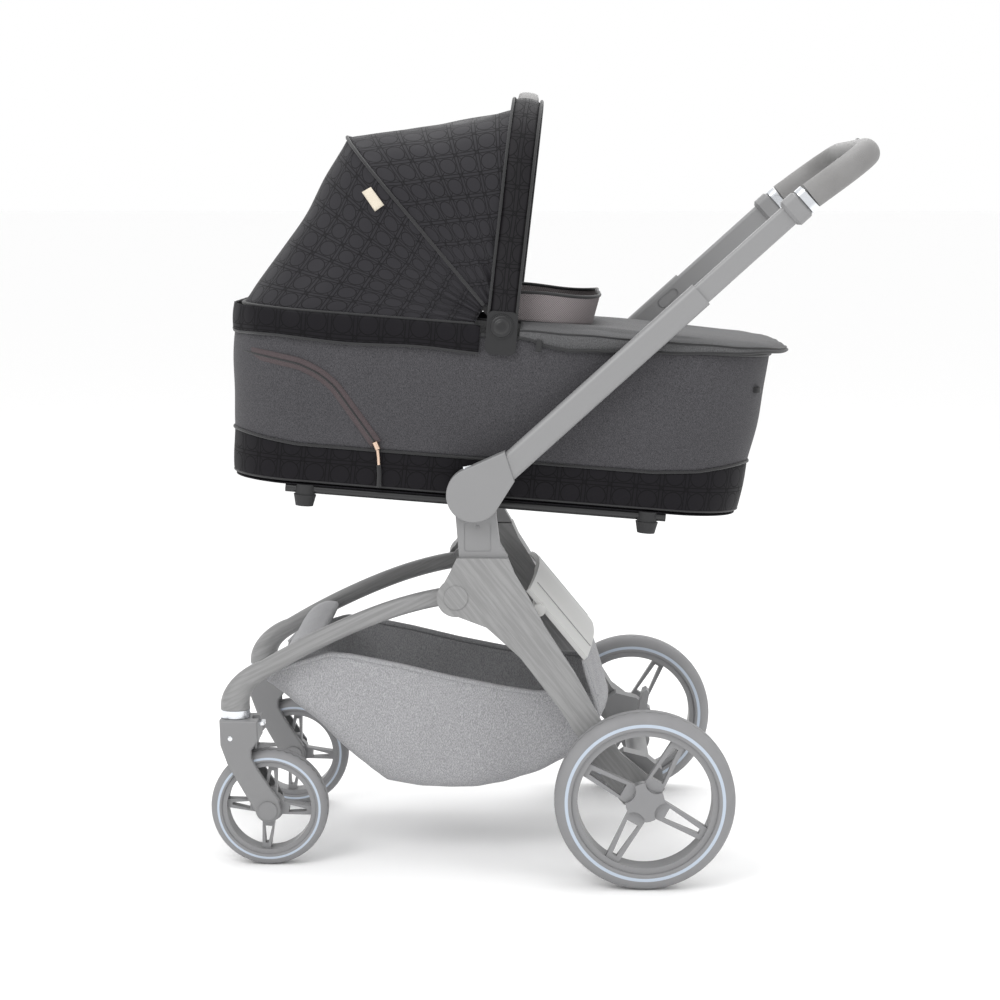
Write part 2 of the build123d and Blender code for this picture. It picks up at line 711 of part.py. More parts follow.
base_t = 4
base_z = cot_wall + seat_gap
with BuildPart() as cot_base:
    extrude(cot_section(base_z, cot_wall + 3), amount=base_t)
write(cot_base, "cot_base")

mattress_t = 34
with BuildPart() as mattress:
    extrude(cot_section(base_z + base_t + soft_gap, cot_wall + 5), amount=mattress_t)
    fillet(mattress.faces().sort_by(Axis.Z)[-1].edges(), radius=9)
write(mattress, "mattress")

# Two round rails under the floor; each carries two tapered rubber feet.
rail_r = 6.5
rail_y = 146
rail_z = -rail_r - seat_gap
rail_from, rail_to = -268, 272
rail_plane = Plane(origin=cot_point(rail_from, -rail_y, rail_z), x_dir=(0, 1, 0), z_dir=cot_x)
with BuildPart() as cot_rail:
    with BuildSketch(rail_plane):
        Circle(rail_r)
    extrude(amount=rail_to - rail_from)
write_both(cot_rail, "cot_rails")

foot_low = -31
foot_at = (-240, 246)
with BuildPart() as cot_foot:
    for along in foot_at:
        with BuildSketch(cot_floor.offset(foot_low)):
            with Locations((along, -rail_y)):
                Circle(12.5)
        with BuildSketch(cot_floor.offset(-15)):
            with Locations((along, -rail_y)):
                Circle(16)
        loft()
        with BuildSketch(cot_floor.offset(-15)):
            with Locations((along, -rail_y)):
                Circle(14)
        extrude(amount=14.6)
    with BuildSketch(rail_plane):
        Circle(rail_r + fit_gap)
    extrude(amount=rail_to - rail_from, mode=Mode.SUBTRACT)
write_both(cot_foot, "cot_feet")

# Adaptor: a block clamped on the rail, with an upright tongue that drops into the stalk's slot.
block_half = 20
with BuildPart() as cot_adaptor:
    with BuildSketch(cot_side(-rail_y + 8)):
        with Locations((0, -8.5)):
            Rectangle(2 * block_half, 16)
    extrude(amount=8 + stalk_inner_y - rail_y - 1)
    with BuildSketch(rail_plane):
        Circle(rail_r + fit_gap)
    extrude(amount=rail_to - rail_from, mode=Mode.SUBTRACT)
    with BuildSketch(at_y(-stalk_inner_y + 4.5)):
        with Locations((cot_origin[0], (tongue_low + cot_origin[1] - 3) / 2)):
            Rectangle(2 * tongue_half, cot_origin[1] - 3 - tongue_low)
    extrude(amount=4.5 + tongue_reach)
write_both(cot_adaptor, "cot_adaptors")

# Hinge housing on the tub's rim, with the pin that the hood's two bows turn on.
housing_in_y = cot_half_w_top + 0.3
with BuildPart() as hinge_housing:
    with BuildSketch(cot_side(-housing_in_y)):
        with Locations((hood_hinge[0] + 1, hood_hinge[1] - 9)):
            RectangleRounded(43, 60, 9)
    extrude(amount=6)
    with BuildSketch(cot_side(-housing_in_y - 6)):
        with Locations(hood_hinge):
            Circle(17)
    extrude(amount=2.8)
    with BuildSketch(cot_side(-housing_in_y - 1)):
        with Locations(hood_hinge):
            Circle(hood_pin_r)
    extrude(amount=-(housing_in_y + 1 - hood_pin_to))
write_both(hinge_housing, "hinge_housings")

# Valance: the cloth band round the head end that hides the rim below the hood.
valance_low, valance_top = 208, hood_hinge[1] - soft_gap
valance_t = 3
with BuildPart() as valance:
    extrude(cot_section(cot_h, -soft_gap - valance_t), amount=valance_top - cot_h)
    extrude(cot_section(cot_h, -soft_gap - valance_t), amount=valance_low - cot_h)
    extrude(cot_section(cot_h, -soft_gap), amount=60, mode=Mode.SUBTRACT)
    extrude(cot_section(cot_h, -soft_gap), amount=-60, mode=Mode.SUBTRACT)
    split(bisect_by=Plane(origin=cot_point(hood_hinge[0] - 24, 0, 0), x_dir=(0, 1, 0), z_dir=cot_x),
          keep=Keep.BOTTOM)
write(valance, "valance")

# Apron over the foot half: a lid on the rim with a skirt, open in front where the flap stands.
apron_from = hood_hinge[0] + 26
apron_foot = 20             # how far it stands out past the foot end
apron_low = 221
apron_edge = 243
apron_crown = 252
mouth_half = 143
mouth_to = 140
with BuildPart() as apron:
    for low, high, inset in ((apron_low, apron_edge, -5), (apron_edge, apron_crown, 12)):
        with BuildSketch(cot_floor.offset(low)):
            with Locations((cot_cx_top + apron_foot / 2, 0)):
                RectangleRounded(cot_len_top + apron_foot - 2 * max(inset, 0),
                                 2 * (cot_half_w_top - inset), cot_corner_top - inset)
        extrude(amount=high - low)
    extrude(cot_section(cot_h, -soft_gap), amount=seat_gap, mode=Mode.SUBTRACT)
    extrude(cot_section(cot_h, -soft_gap), amount=-60, mode=Mode.SUBTRACT)
    split(bisect_by=Plane(origin=cot_point(apron_from, 0, 0), x_dir=(0, 1, 0), z_dir=cot_x),
          keep=Keep.TOP)
    with BuildSketch(cot_floor.offset(cot_h)):
        with Locations((mouth_to - 100, 0)):
            RectangleRounded(200, 2 * mouth_half, 60)
    extrude(amount=60, mode=Mode.SUBTRACT)
write(apron, "apron")

# Wind flap: a stiff mesh collar round the mouth of the apron, leaning out at the front.
flap_half = 152
flap_t = 4
flap_base = apron_crown + soft_gap
flap_top = 298
with BuildPart() as wind_flap:
    for inset, how in ((0, Mode.ADD), (flap_t, Mode.SUBTRACT)):
        with BuildSketch(cot_floor.offset(flap_base)) as low:
            with Locations((40, 0)):
                RectangleRounded(2 * (mouth_to + 6 - 40) - 2 * inset, 2 * (flap_half - inset), 70 - inset)
        with BuildSketch(cot_floor.offset(flap_top)) as high:
            with Locations((40, 0)):
                RectangleRounded(2 * (mouth_to + 14 - 40) - 2 * inset, 2 * (flap_half - inset), 70 - inset)
        loft(mode=how)
    split(bisect_by=Plane(origin=cot_point(apron_from + 10, 0, 0), x_dir=(0, 1, 0), z_dir=cot_x),
          keep=Keep.TOP)
write(wind_flap, "wind_flap")


# ------------------------------------------------------------------ hood
def radial(angle):
    a = radians(angle)
    return Vector(*cot_x) * cos(a) + Vector(*cot_up) * sin(a)


hinge_point = cot_point(hood_hinge[0], 0, hood_hinge[1])


def hood_plane(angle):
    """Plane through the hood's hinge line: local x is Y, local y runs out from the hinge."""
    out = radial(angle)
    return Plane(origin=hinge_point, x_dir=(0, 1, 0), z_dir=Vector(0, 1, 0).cross(out))


def arch(plane, half, start, reach, corner):
    """Filled arch: square feet at start and round shoulders at its reach."""
    with BuildSketch(plane) as shape:
        with Locations((0, (start + reach) / 2)):
            Rectangle(2 * half, reach - start)
        fillet(shape.vertices().group_by(Axis.Y)[-1], radius=corner)
    return shape.sketch


def hood_shell(plane_a, edge_a, plane_b, edge_b):
    """Cloth stretched between two arches."""
    with BuildPart() as shell:
        for inset, start, how in ((0, root_start, Mode.ADD),
                                  (hood_cloth, root_start - 12, Mode.SUBTRACT)):
            loft([arch(plane, hood_half_w - inset, start, hood_reach[edge] - inset,
                       hood_corner[edge] - inset)
                  for plane, edge in ((plane_a, edge_a), (plane_b, edge_b))], mode=how)
    return shell


def bow_band(angle, half, start, reach, corner, thickness, width):
    """Flat strip bent to an arch, with a round eye at each foot."""
    plane = hood_plane(angle)
    with BuildPart() as band:
        extrude(arch(plane, half, start, reach, corner), amount=width / 2, both=True)
        extrude(arch(plane, half - thickness, start - 1, reach - thickness, corner - thickness),
                amount=width, both=True, mode=Mode.SUBTRACT)
        out = radial(angle)
        for y, inward in ((-half, -thickness), (half, thickness)):
            with BuildSketch(Plane(origin=Vector(hinge_point.X, y, hinge_point.Z),
                                   x_dir=out, z_dir=(0, -1, 0))):
                Circle(eye_r)
                with Locations((start / 2 + 2, 0)):
                    Rectangle(start + 4, min(width, 2 * eye_r))
            extrude(amount=inward)
        with BuildSketch(cot_side(half + 5)):
            with Locations(hood_hinge):
                Circle(hood_pin_r + fit_gap)
        extrude(amount=2 * half + 10, mode=Mode.SUBTRACT)
    return band


hood_corner = {"rim": 112, "rib": 104, "bow": 92}
root_start = 38
eye_r = 11
bow_back = hood_plane(hood_angle["bow"]).offset(-bow_w / 2 - soft_gap)
hood_rear_cloth = hood_shell(hood_plane(hood_angle["rim"]), "rim",
                             hood_plane(hood_angle["rib"] + 0.1), "rib")
write(hood_rear_cloth, "hood_rear_cloth")
hood_front_cloth = hood_shell(hood_plane(hood_angle["rib"] - 0.1), "rib", bow_back, "bow")
write(hood_front_cloth, "hood_front_cloth")

rib_w = 12
rib_t = 4
rib_inset = hood_cloth + 2.5
rib_drop = hood_cloth + 5    # the cloth runs straight from arch to arch, so the rib lies lower
hood_rib = bow_band(hood_angle["rib"], hood_half_w - rib_inset, 6, hood_reach["rib"] - rib_drop,
                    hood_corner["rib"] - rib_inset, rib_t, rib_w)
write(hood_rib, "hood_rib")

hood_bow = bow_band(hood_angle["bow"], hood_half_w + 1, 15, hood_reach["bow"], hood_corner["bow"],
                    bow_t, bow_w)
write(hood_bow, "hood_bow")
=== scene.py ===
import math

import bpy
import numpy as np
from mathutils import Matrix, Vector


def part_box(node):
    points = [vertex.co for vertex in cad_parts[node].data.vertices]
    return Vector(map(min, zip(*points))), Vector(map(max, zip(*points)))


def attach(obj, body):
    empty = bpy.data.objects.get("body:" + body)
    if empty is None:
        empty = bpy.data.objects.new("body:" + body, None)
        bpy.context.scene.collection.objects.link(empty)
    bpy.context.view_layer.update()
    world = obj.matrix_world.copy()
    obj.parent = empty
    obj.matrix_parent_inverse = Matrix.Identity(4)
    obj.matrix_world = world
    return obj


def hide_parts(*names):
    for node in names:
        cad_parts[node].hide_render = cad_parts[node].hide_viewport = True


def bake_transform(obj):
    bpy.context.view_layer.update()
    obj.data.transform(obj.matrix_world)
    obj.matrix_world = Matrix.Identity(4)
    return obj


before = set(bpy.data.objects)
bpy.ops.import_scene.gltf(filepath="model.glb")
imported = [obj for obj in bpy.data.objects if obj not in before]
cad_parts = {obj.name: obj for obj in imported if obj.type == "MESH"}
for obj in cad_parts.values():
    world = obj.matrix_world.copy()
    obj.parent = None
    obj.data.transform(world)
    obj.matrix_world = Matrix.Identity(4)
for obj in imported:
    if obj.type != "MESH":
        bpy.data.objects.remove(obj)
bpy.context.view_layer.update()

# ---------------------------------------------------------------- camera, floor and light
# A pram on a plain pale floor, seen square from its left side, a little above the cot's rim.
scene = bpy.context.scene
scene.view_settings.view_transform = "Standard"
camera = bpy.data.objects.new("camera", bpy.data.cameras.new("camera"))
camera.location = (0.01325, -3.3908, 0.94896)
camera.rotation_euler = (math.radians(82.548), 0, math.radians(1.253))
camera.data.lens = 83.18
camera.data.sensor_width = 36
scene.collection.objects.link(camera)
scene.camera = camera

floor_mesh = bpy.data.meshes.new("floor")
floor_mesh.from_pydata([(-60, -40, 0), (60, -40, 0), (60, 160, 0), (-60, 160, 0)], [], [(0, 1, 2, 3)])
floor = bpy.data.objects.new("floor", floor_mesh)
scene.collection.objects.link(floor)
floor_paint = bpy.data.materials.new("floor_paint")
floor_paint.use_nodes = True
floor_paint.node_tree.nodes["Principled BSDF"].inputs["Base Color"].default_value = (0.98, 0.98, 0.98, 1)
floor_paint.node_tree.nodes["Principled BSDF"].inputs["Roughness"].default_value = 0.9
floor_mesh.materials.append(floor_paint)

world = bpy.data.worlds.new("studio")
world.use_nodes = True
world.node_tree.nodes["Background"].inputs["Color"].default_value = (1.0, 1.0, 1.0, 1)
world.node_tree.nodes["Background"].inputs["Strength"].default_value = 1.0
scene.world = world


def lamp(name, place, aim, size, power):
    light = bpy.data.objects.new(name, bpy.data.lights.new(name, "AREA"))
    light.location = place
    light.rotation_euler = (Vector(aim) - Vector(place)).to_track_quat("-Z", "Y").to_euler()
    light.data.size = size
    light.data.energy = power
    scene.collection.objects.link(light)


lamp("key", (-1.6, -2.6, 3.0), (0, 0, 0.6), 1.8, 50)
lamp("fill", (2.8, -2.2, 1.7), (0, 0, 0.6), 2.2, 14)
lamp("top", (0.2, 0.4, 3.4), (0, 0, 0.6), 2.0, 42)
lamp("back", (0.6, 2.8, 2.2), (0, 0, 0.6), 2.0, 16)


# ---------------------------------------------------------------- hard materials
# Moulded plastic, paint, foam rubber and bright metal of the chassis and the wheels.
class Sock:
    """A shader socket that sums and multiplies like a number."""

    def __init__(self, tree, out):
        self.tree, self.out = tree, out

    def node(self, kind, settings=None, inputs=None):
        made = self.tree.nodes.new(kind)
        for key, value in (settings or {}).items():
            setattr(made, key, value)
        for key, value in (inputs or {}).items():
            if isinstance(value, Sock):
                self.tree.links.new(value.out, made.inputs[key])
            else:
                made.inputs[key].default_value = value
        return made

    def of(self, kind, settings=None, inputs=None):
        return Sock(self.tree, self.node(kind, settings, inputs).outputs[0])

    def math(self, how, a, b=0.0):
        return self.of("ShaderNodeMath", {"operation": how}, {0: a, 1: b})

    def __add__(self, b):
        return self.math("ADD", self, b)

    def __radd__(self, b):
        return self.math("ADD", b, self)

    def __sub__(self, b):
        return self.math("SUBTRACT", self, b)

    def __rsub__(self, b):
        return self.math("SUBTRACT", b, self)

    def __mul__(self, b):
        return self.math("MULTIPLY", self, b)

    def __rmul__(self, b):
        return self.math("MULTIPLY", b, self)

    def __truediv__(self, b):
        return self.math("DIVIDE", self, b)

    def __gt__(self, b):
        return self.math("GREATER_THAN", self, b)

    def __lt__(self, b):
        return self.math("LESS_THAN", self, b)

    def clamp(self):
        return self.of("ShaderNodeClamp", None, {0: self})

    def wave(self):
        return self.math("SINE", self)

    def size(self):
        return self.math("ABSOLUTE", self)

    def fold(self, pitch):
        return self.math("PINGPONG", self, pitch)

    def root(self):
        return self.math("SQRT", self)

    def smooth(self, low, high):
        return self.of("ShaderNodeMapRange", {"interpolation_type": "SMOOTHSTEP"},
                       {0: self, 1: low, 2: high, 3: 0.0, 4: 1.0})

    def tint(self, a, b):
        """Colour a where this is 0 and colour b where it is 1."""
        made = self.node("ShaderNodeMix", {"data_type": "RGBA"})
        self.tree.links.new(self.out, made.inputs[0])
        for place, value in ((6, a), (7, b)):
            if isinstance(value, Sock):
                self.tree.links.new(value.out, made.inputs[place])
            else:
                made.inputs[place].default_value = (*value, 1)
        return Sock(self.tree, made.outputs[2])

    def noise(self, where, scale, detail=3.0, rough=0.5):
        return self.of("ShaderNodeTexNoise", None,
                       {"Vector": where, "Scale": scale, "Detail": detail, "Roughness": rough})


def material(name, color, rough=0.5, metal=0.0, sheen=0.0):
    """A new material, its shader, and the object's and the cloth's coordinates."""
    made = bpy.data.materials.new(name)
    made.use_nodes = True
    shader = made.node_tree.nodes["Principled BSDF"]
    shader.inputs["Base Color"].default_value = (*color, 1)
    shader.inputs["Roughness"].default_value = rough
    shader.inputs["Metallic"].default_value = metal
    shader.inputs["Sheen Weight"].default_value = sheen
    tree = made.node_tree
    place = tree.nodes.new("ShaderNodeTexCoord")
    return made, shader, Sock(tree, place.outputs["Object"]), Sock(tree, place.outputs["UV"])


def shaded(color, darker, lighter):
    """Two shades of a colour, one darker and one lighter."""
    return [c * darker for c in color], [min(1, c * lighter) for c in color]


def feed(shader, name, sock):
    sock.tree.links.new(sock.out, shader.inputs[name])


def relief(shader, height, strength, distance):
    settings = {"Height": height, "Strength": strength, "Distance": distance}
    bump = height.node("ShaderNodeBump", None, settings)
    height.tree.links.new(bump.outputs[0], shader.inputs["Normal"])


def parts(where):
    made = where.node("ShaderNodeSeparateXYZ", None, {0: where})
    return [Sock(where.tree, made.outputs[i]) for i in range(3)]


def joined(a, x, y, z):
    return a.of("ShaderNodeCombineXYZ", None, {0: x, 1: y, 2: z})


def moulded(name, color, rough=0.5, grain=0.15):
    made, shader, place, _ = material(name, color, rough)
    fine = place.noise(place, 1500, 2)
    cloudy = place.noise(place, 9, 2)
    feed(shader, "Base Color", cloudy.tint(*shaded(color, 0.94, 1.06)))
    feed(shader, "Roughness", cloudy * 0.12 + (rough - 0.06))
    relief(shader, fine, grain, 0.0004)
    return made


def wood(name, color, angle):
    """Moulded cover with fine grain along a direction in the upright lengthwise plane."""
    made, shader, place, _ = material(name, color, 0.5)
    x, y, z = parts(place)
    c, s = math.cos(math.radians(angle)), math.sin(math.radians(angle))
    along, across = x * c + z * s, z * c - x * s
    where = joined(place, along * 9.0, across * 260.0, y * 90.0)
    broad = place.noise(joined(place, along * 5.0, across * 60.0, y * 20.0), 1.0, 3)
    grain = place.noise(where, 1.0, 4, 0.6)
    lines = grain.smooth(0.36, 0.66)
    feed(shader, "Base Color", (lines * 0.7 + broad * 0.3).tint(*shaded(color, 0.80, 1.10)))
    feed(shader, "Roughness", lines * 0.10 + 0.42)
    relief(shader, lines, 0.22, 0.0006)
    return made


grey_paint, shader, place, _ = material("grey_paint", (0.235, 0.235, 0.238), 0.36)
relief(shader, place.noise(place, 260, 2), 0.04, 0.0006)
feed(shader, "Roughness", place.noise(place, 14, 2) * 0.12 + 0.30)
cover_grey = moulded("cover_grey", (0.225, 0.225, 0.228), 0.46)
fork_grey = moulded("fork_grey", (0.20, 0.20, 0.203), 0.42)
wheel_grey = moulded("wheel_grey", (0.215, 0.215, 0.22), 0.40)
black_plastic = moulded("black_plastic", (0.005, 0.005, 0.006), 0.40, 0.25)
black_steel = moulded("black_steel", (0.013, 0.013, 0.014), 0.36, 0.06)
foot_rubber = moulded("foot_rubber", (0.016, 0.016, 0.017), 0.7, 0.3)
panel_cover = moulded("panel_cover", (0.52, 0.52, 0.51), 0.42, 0.08)
front_wood = wood("front_wood", (0.235, 0.235, 0.235), 26)
rear_wood = wood("rear_wood", (0.245, 0.245, 0.245), -51)
bright, shader, place, _ = material("bright", (0.74, 0.76, 0.79), 0.16, 1.0)
feed(shader, "Roughness", place.noise(place, 60, 2) * 0.10 + 0.12)
bright_ring, shader, place, _ = material("bright_ring", (0.70, 0.72, 0.75), 0.22, 1.0)
x, y, z = parts(place)
feed(shader, "Roughness", place.noise(joined(place, x * 40.0, y * 40.0, z * 1600.0), 1.0, 2) * 0.22 + 0.14)


def tyre_material(name, axle_x, axle_z, outer, stripe, width):
    """Foam rubber with wavy tread grooves and a reflective band round each side."""
    made, shader, place, _ = material(name, (0.22, 0.22, 0.225), 0.62)
    x, y, z = parts(place)
    dx, dz = x - axle_x, z - axle_z
    radius = (dx * dx + dz * dz).root()
    turn = place.math("ARCTAN2", dz, dx)
    band = (radius - stripe).size() < width
    wander = (turn * 46.0).wave() * 0.0016
    side = (y.size() - (0.277 if outer > 0.1 else 0.166)).size()
    shaded_groove = ((side - 0.007 - wander).size() < 0.0011) * (radius > outer - 0.010)
    dust = place.noise(place, 30, 3)
    ground = dust.tint((0.195, 0.195, 0.20), (0.245, 0.245, 0.25))
    # The tread grooves get a darker colour: painted shade in the recesses.
    feed(shader, "Base Color", band.tint(shaded_groove.tint(ground, (0.12, 0.12, 0.12)), (0.43, 0.49, 0.57)))
    feed(shader, "Roughness", 0.64 - band * 0.34)
    relief(shader, place.noise(place, 700, 2) * 0.25 - shaded_groove - band * 0.3, 0.5, 0.0008)
    return made


rear_tyre = tyre_material("rear_tyre", 0.145, 0.125, 0.125, 0.1085, 0.0022)
front_tyre = tyre_material("front_tyre", -0.387, 0.084, 0.084, 0.0725, 0.0016)
grip_leather, shader, place, _ = material("grip_leather", (0.30, 0.295, 0.29), 0.5)
cells = place.of("ShaderNodeTexVoronoi", {"feature": "DISTANCE_TO_EDGE"}, {"Vector": place, "Scale": 420.0})
feed(shader, "Base Color", place.noise(place, 24, 3).tint((0.165, 0.162, 0.16), (0.225, 0.222, 0.22)))
relief(shader, cells.smooth(0.0, 0.35), 0.35, 0.0006)

node_materials = {
    "rear_leg": rear_wood, "front_leg": front_wood, "pivot_caps": rear_wood, "rear_axle": cover_grey,
    "stalk": cover_grey, "arm_hub": cover_grey, "outer_tube": grey_paint, "inner_tubes": grey_paint,
    "release_button": bright, "cross_tube": grey_paint, "brake_housings": cover_grey,
    "handle_brackets": cover_grey, "grip_bezel": cover_grey, "height_button": cover_grey,
    "fold_slider": cover_grey, "brake_pedal": cover_grey,
    "castor_fork": fork_grey, "front_axle": fork_grey, "rear_rim": wheel_grey, "front_rim": wheel_grey,
    "rear_hub_cap": wheel_grey, "rear_tyre": rear_tyre, "front_tyre": front_tyre,
    "castor_collars": bright_ring,
    "handle_rings": bright_ring, "swivel_lock": bright, "grip": grip_leather, "rear_panel": panel_cover,
    "hinge_housings": black_plastic, "cot_adaptors": black_plastic, "hood_rib": black_plastic,
    "cot_base": black_plastic, "cot_rails": black_steel, "cot_feet": foot_rubber,
}
for node_name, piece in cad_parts.items():
    kind = node_name.replace("_left", "").replace("_right", "")
    if kind in node_materials:
        piece.data.materials.clear()
        piece.data.materials.append(node_materials[kind])
    if kind in ("rear_rim", "front_rim", "rear_hub_cap", "arm_hub", "stalk", "castor_fork"):
        edge = piece.modifiers.new("edge", "BEVEL")
        edge.width = 0.0008
        edge.segments = 2
        edge.limit_method = "ANGLE"
        edge.angle_limit = math.radians(40)


# ---------------------------------------------------------------- cloth materials
# Charcoal melange, the near-black cloth printed with cane-work lines, piping, mesh and lining.
def melange(name, dark, light, scale=900.0, rough=0.85):
    made, shader, place, _ = material(name, dark, rough, sheen=0.05)
    x, y, z = parts(place)
    threads = place.noise(joined(place, x * 1.5, y * 1.5, z * 0.45), scale, 2, 0.65)
    broad = place.noise(place, 5, 3)
    feed(shader, "Base Color", (threads.smooth(0.35, 0.68) * 0.8 + broad * 0.2).tint(dark, light))
    weave = ((x * 2600.0).wave() * (z * 2600.0).wave()) * 0.3 + threads
    relief(shader, weave, 0.35, 0.0005)
    return made


def cane_print(name, ground, line, sheen=0.0, pitch=0.036):
    """Paired upright and level lines, crossed by diagonals with a small ring at each crossing."""
    made, shader, place, uv = material(name, ground, 0.55, sheen=sheen)
    u, v, _ = parts(uv)
    a, b = (u / pitch).fold(0.5), (v / pitch).fold(0.5)
    pair_u = ((a - 0.075).size() < 0.020)
    pair_v = ((b - 0.075).size() < 0.020)
    diagonal_a = (((u + v) / pitch).fold(0.5) < 0.022)
    diagonal_b = (((u - v) / pitch).fold(0.5) < 0.022)
    ring_r = ((a - 0.5) * (a - 0.5) + (b - 0.5) * (b - 0.5)).root()
    ring = ((ring_r - 0.37).size() < 0.020)
    outside = ring_r > 0.37
    marks = (pair_u + pair_v + (diagonal_a + diagonal_b) * outside + ring).clamp()
    threads = place.noise(place, 1300, 2)
    soft = place.noise(place, 7, 3)
    feed(shader, "Base Color", (marks * 0.9 * threads.smooth(0.1, 0.5) + soft * 0.10).tint(ground, line))
    feed(shader, "Roughness", marks * 0.15 + 0.56)
    shader.inputs["Specular IOR Level"].default_value = 0.16
    relief(shader, threads + marks * 0.2, 0.25, 0.0004)
    return made


cot_cloth = melange("cot_cloth", (0.014, 0.0135, 0.016), (0.076, 0.074, 0.081), 1100.0)
apron_cloth = melange("apron_cloth", (0.036, 0.036, 0.038), (0.115, 0.115, 0.118), 1100.0)
basket_cloth = melange("basket_cloth", (0.20, 0.20, 0.208), (0.43, 0.43, 0.442), 900.0)
# The next print is a darker copy of the hood's printed cloth: painted shade on the low band and the valance.
band_print = cane_print("band_print", (0.0050, 0.0042, 0.0062), (0.0012, 0.0010, 0.0016))
hood_print = cane_print("hood_print", (0.022, 0.021, 0.0245), (0.0045, 0.0042, 0.005), 0.05)
# A darker copy of the hood's printed cloth for the front bow: painted shade.
bow_print = cane_print("bow_print", (0.011, 0.010, 0.012), (0.003, 0.003, 0.0035), 0.03)
piping, shader, place, _ = material("piping", (0.010, 0.010, 0.011), 0.7, sheen=0.2)
relief(shader, place.noise(place, 1600, 2), 0.4, 0.0005)
zip_tape = melange("zip_tape", (0.040, 0.028, 0.030), (0.085, 0.066, 0.070), 1500.0)
lining = melange("lining", (0.10, 0.10, 0.102), (0.17, 0.17, 0.172), 1100.0)
mattress_cloth = melange("mattress_cloth", (0.46, 0.45, 0.43), (0.60, 0.59, 0.57), 1000.0)
label_cloth = melange("label_cloth", (0.56, 0.50, 0.40), (0.70, 0.64, 0.54), 1500.0)
rose_metal, shader, place, _ = material("rose_metal", (0.62, 0.46, 0.36), 0.25, 1.0)
feed(shader, "Roughness", place.noise(place, 200, 2) * 0.2 + 0.15)
flap_mesh, shader, place, uv = material("flap_mesh", (0.33, 0.29, 0.27), 0.8)
u, v, _ = parts(uv)
holes = (((u / 0.0032).fold(0.5) - 0.25) * ((v / 0.0032).fold(0.5) - 0.25)).smooth(-0.03, 0.03)
# The sunken cells of the mesh get a darker copy of its colour: painted shade in the mesh's holes.
feed(shader, "Base Color", holes.tint((0.105, 0.090, 0.092), (0.25, 0.225, 0.228)))
relief(shader, holes, 0.5, 0.0006)

# ---------------------------------------------------------------- carrycot body
# A rounded tub of board and foam under two cloths: a printed band low down and plain melange above.
# The cot's own frame is in millimetres, tilted towards the foot, with its origin on the cot's floor.
TILT = math.radians(4.45)
COT_X, COT_Z = -94, 528.5
COT_HEIGHT = 232
FLOOR_MIDDLE = 13
FLOOR_EDGE = 7
OUTLINE_POINTS = 240


def cot(x, y, z):
    """The scene's place, in metres, of a point in the cot's own frame in millimetres."""
    return np.stack([(COT_X + x * math.cos(TILT) + z * math.sin(TILT)) / 1000, np.asarray(y) / 1000,
                     (COT_Z - x * math.sin(TILT) + z * math.cos(TILT)) / 1000], axis=-1)


def grid(name, points, uvs=None, wrap=False, look=None, body=None, thick=0.0,
         offset=-1.0):
    """A sheet through rows of points; uvs are in metres along the cloth."""
    rows, cols = points.shape[:2]
    faces = []
    for i in range(rows - 1):
        here, above = i * cols, (i + 1) * cols
        for k in range(cols if wrap else cols - 1):
            after = (k + 1) % cols
            faces.append((here + k, here + after, above + after, above + k))
    mesh = bpy.data.meshes.new(name)
    mesh.from_pydata(points.reshape(-1, 3).tolist(), [], faces)
    mesh.update()
    if uvs is not None:
        layer = mesh.uv_layers.new(name="cloth")
        flat = uvs.reshape(-1, 2)
        for polygon in mesh.polygons:
            for loop in polygon.loop_indices:
                layer.data[loop].uv = flat[mesh.loops[loop].vertex_index]
    mesh.shade_smooth()
    made = bpy.data.objects.new(name, mesh)
    scene.collection.objects.link(made)
    if look:
        mesh.materials.append(look)
    if thick:
        shell = made.modifiers.new("thickness", "SOLIDIFY")
        shell.thickness = thick
        shell.offset = offset
    if body:
        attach(made, body)
    return made


def ripples(points, count, size, low, high, seed):
    """Sum of random soft waves at each point, from -size to size."""
    pick = np.random.default_rng(seed)
    total = np.zeros(points.shape[:-1])
    for _ in range(count):
        direction = pick.normal(size=3)
        direction /= np.linalg.norm(direction)
        total += np.sin(points @ direction * pick.uniform(low, high) + pick.uniform(0, 6.28))
    return size * total / math.sqrt(count)


def lengths(stretches):
    """The length of each stretch, where every second one is a quarter turn given by its radius."""
    return [size * math.pi / 2 if number % 2 else size for number, size in enumerate(stretches)]


def walk(start, heading, turn, stretches, distances):
    """Places and outward directions at distances along straights and quarter turns, which alternate.

    The first stretch is straight. Turn is 1 where the line turns to the left and -1 to the right.
    """
    def moved(place, heading, bends, size, distance):
        if not bends:
            return place + distance * np.array([math.cos(heading), math.sin(heading)]), heading
        after = heading + turn * distance / size
        swing = np.array([math.sin(after) - math.sin(heading), math.cos(heading) - math.cos(after)])
        return place + size * turn * swing, after

    legs = []
    passed, place, heading = 0.0, np.array(start, float), math.radians(heading)
    for number, length in enumerate(lengths(stretches)):
        leg = (place, heading, number % 2 == 1, stretches[number])
        legs.append((passed, leg))
        place, heading = moved(*leg, length)
        passed += length
    places, normals = [], []
    for distance in distances:
        begun, leg = [item for item in legs if item[0] <= distance][-1]
        place, heading = moved(*leg, distance - begun)
        places.append(place)
        normals.append((turn * math.sin(heading), -turn * math.cos(heading)))
    return np.array(places), np.array(normals)


def u_shape(start, far, half, corner):
    """Stretches of a U: one side from its start, a corner, the far end, a corner and the other side."""
    side = far - corner - start
    return [side, corner, 2 * (half - corner), corner, side]


def marks_of(stretches):
    return np.concatenate([[0], np.cumsum(lengths(stretches))])


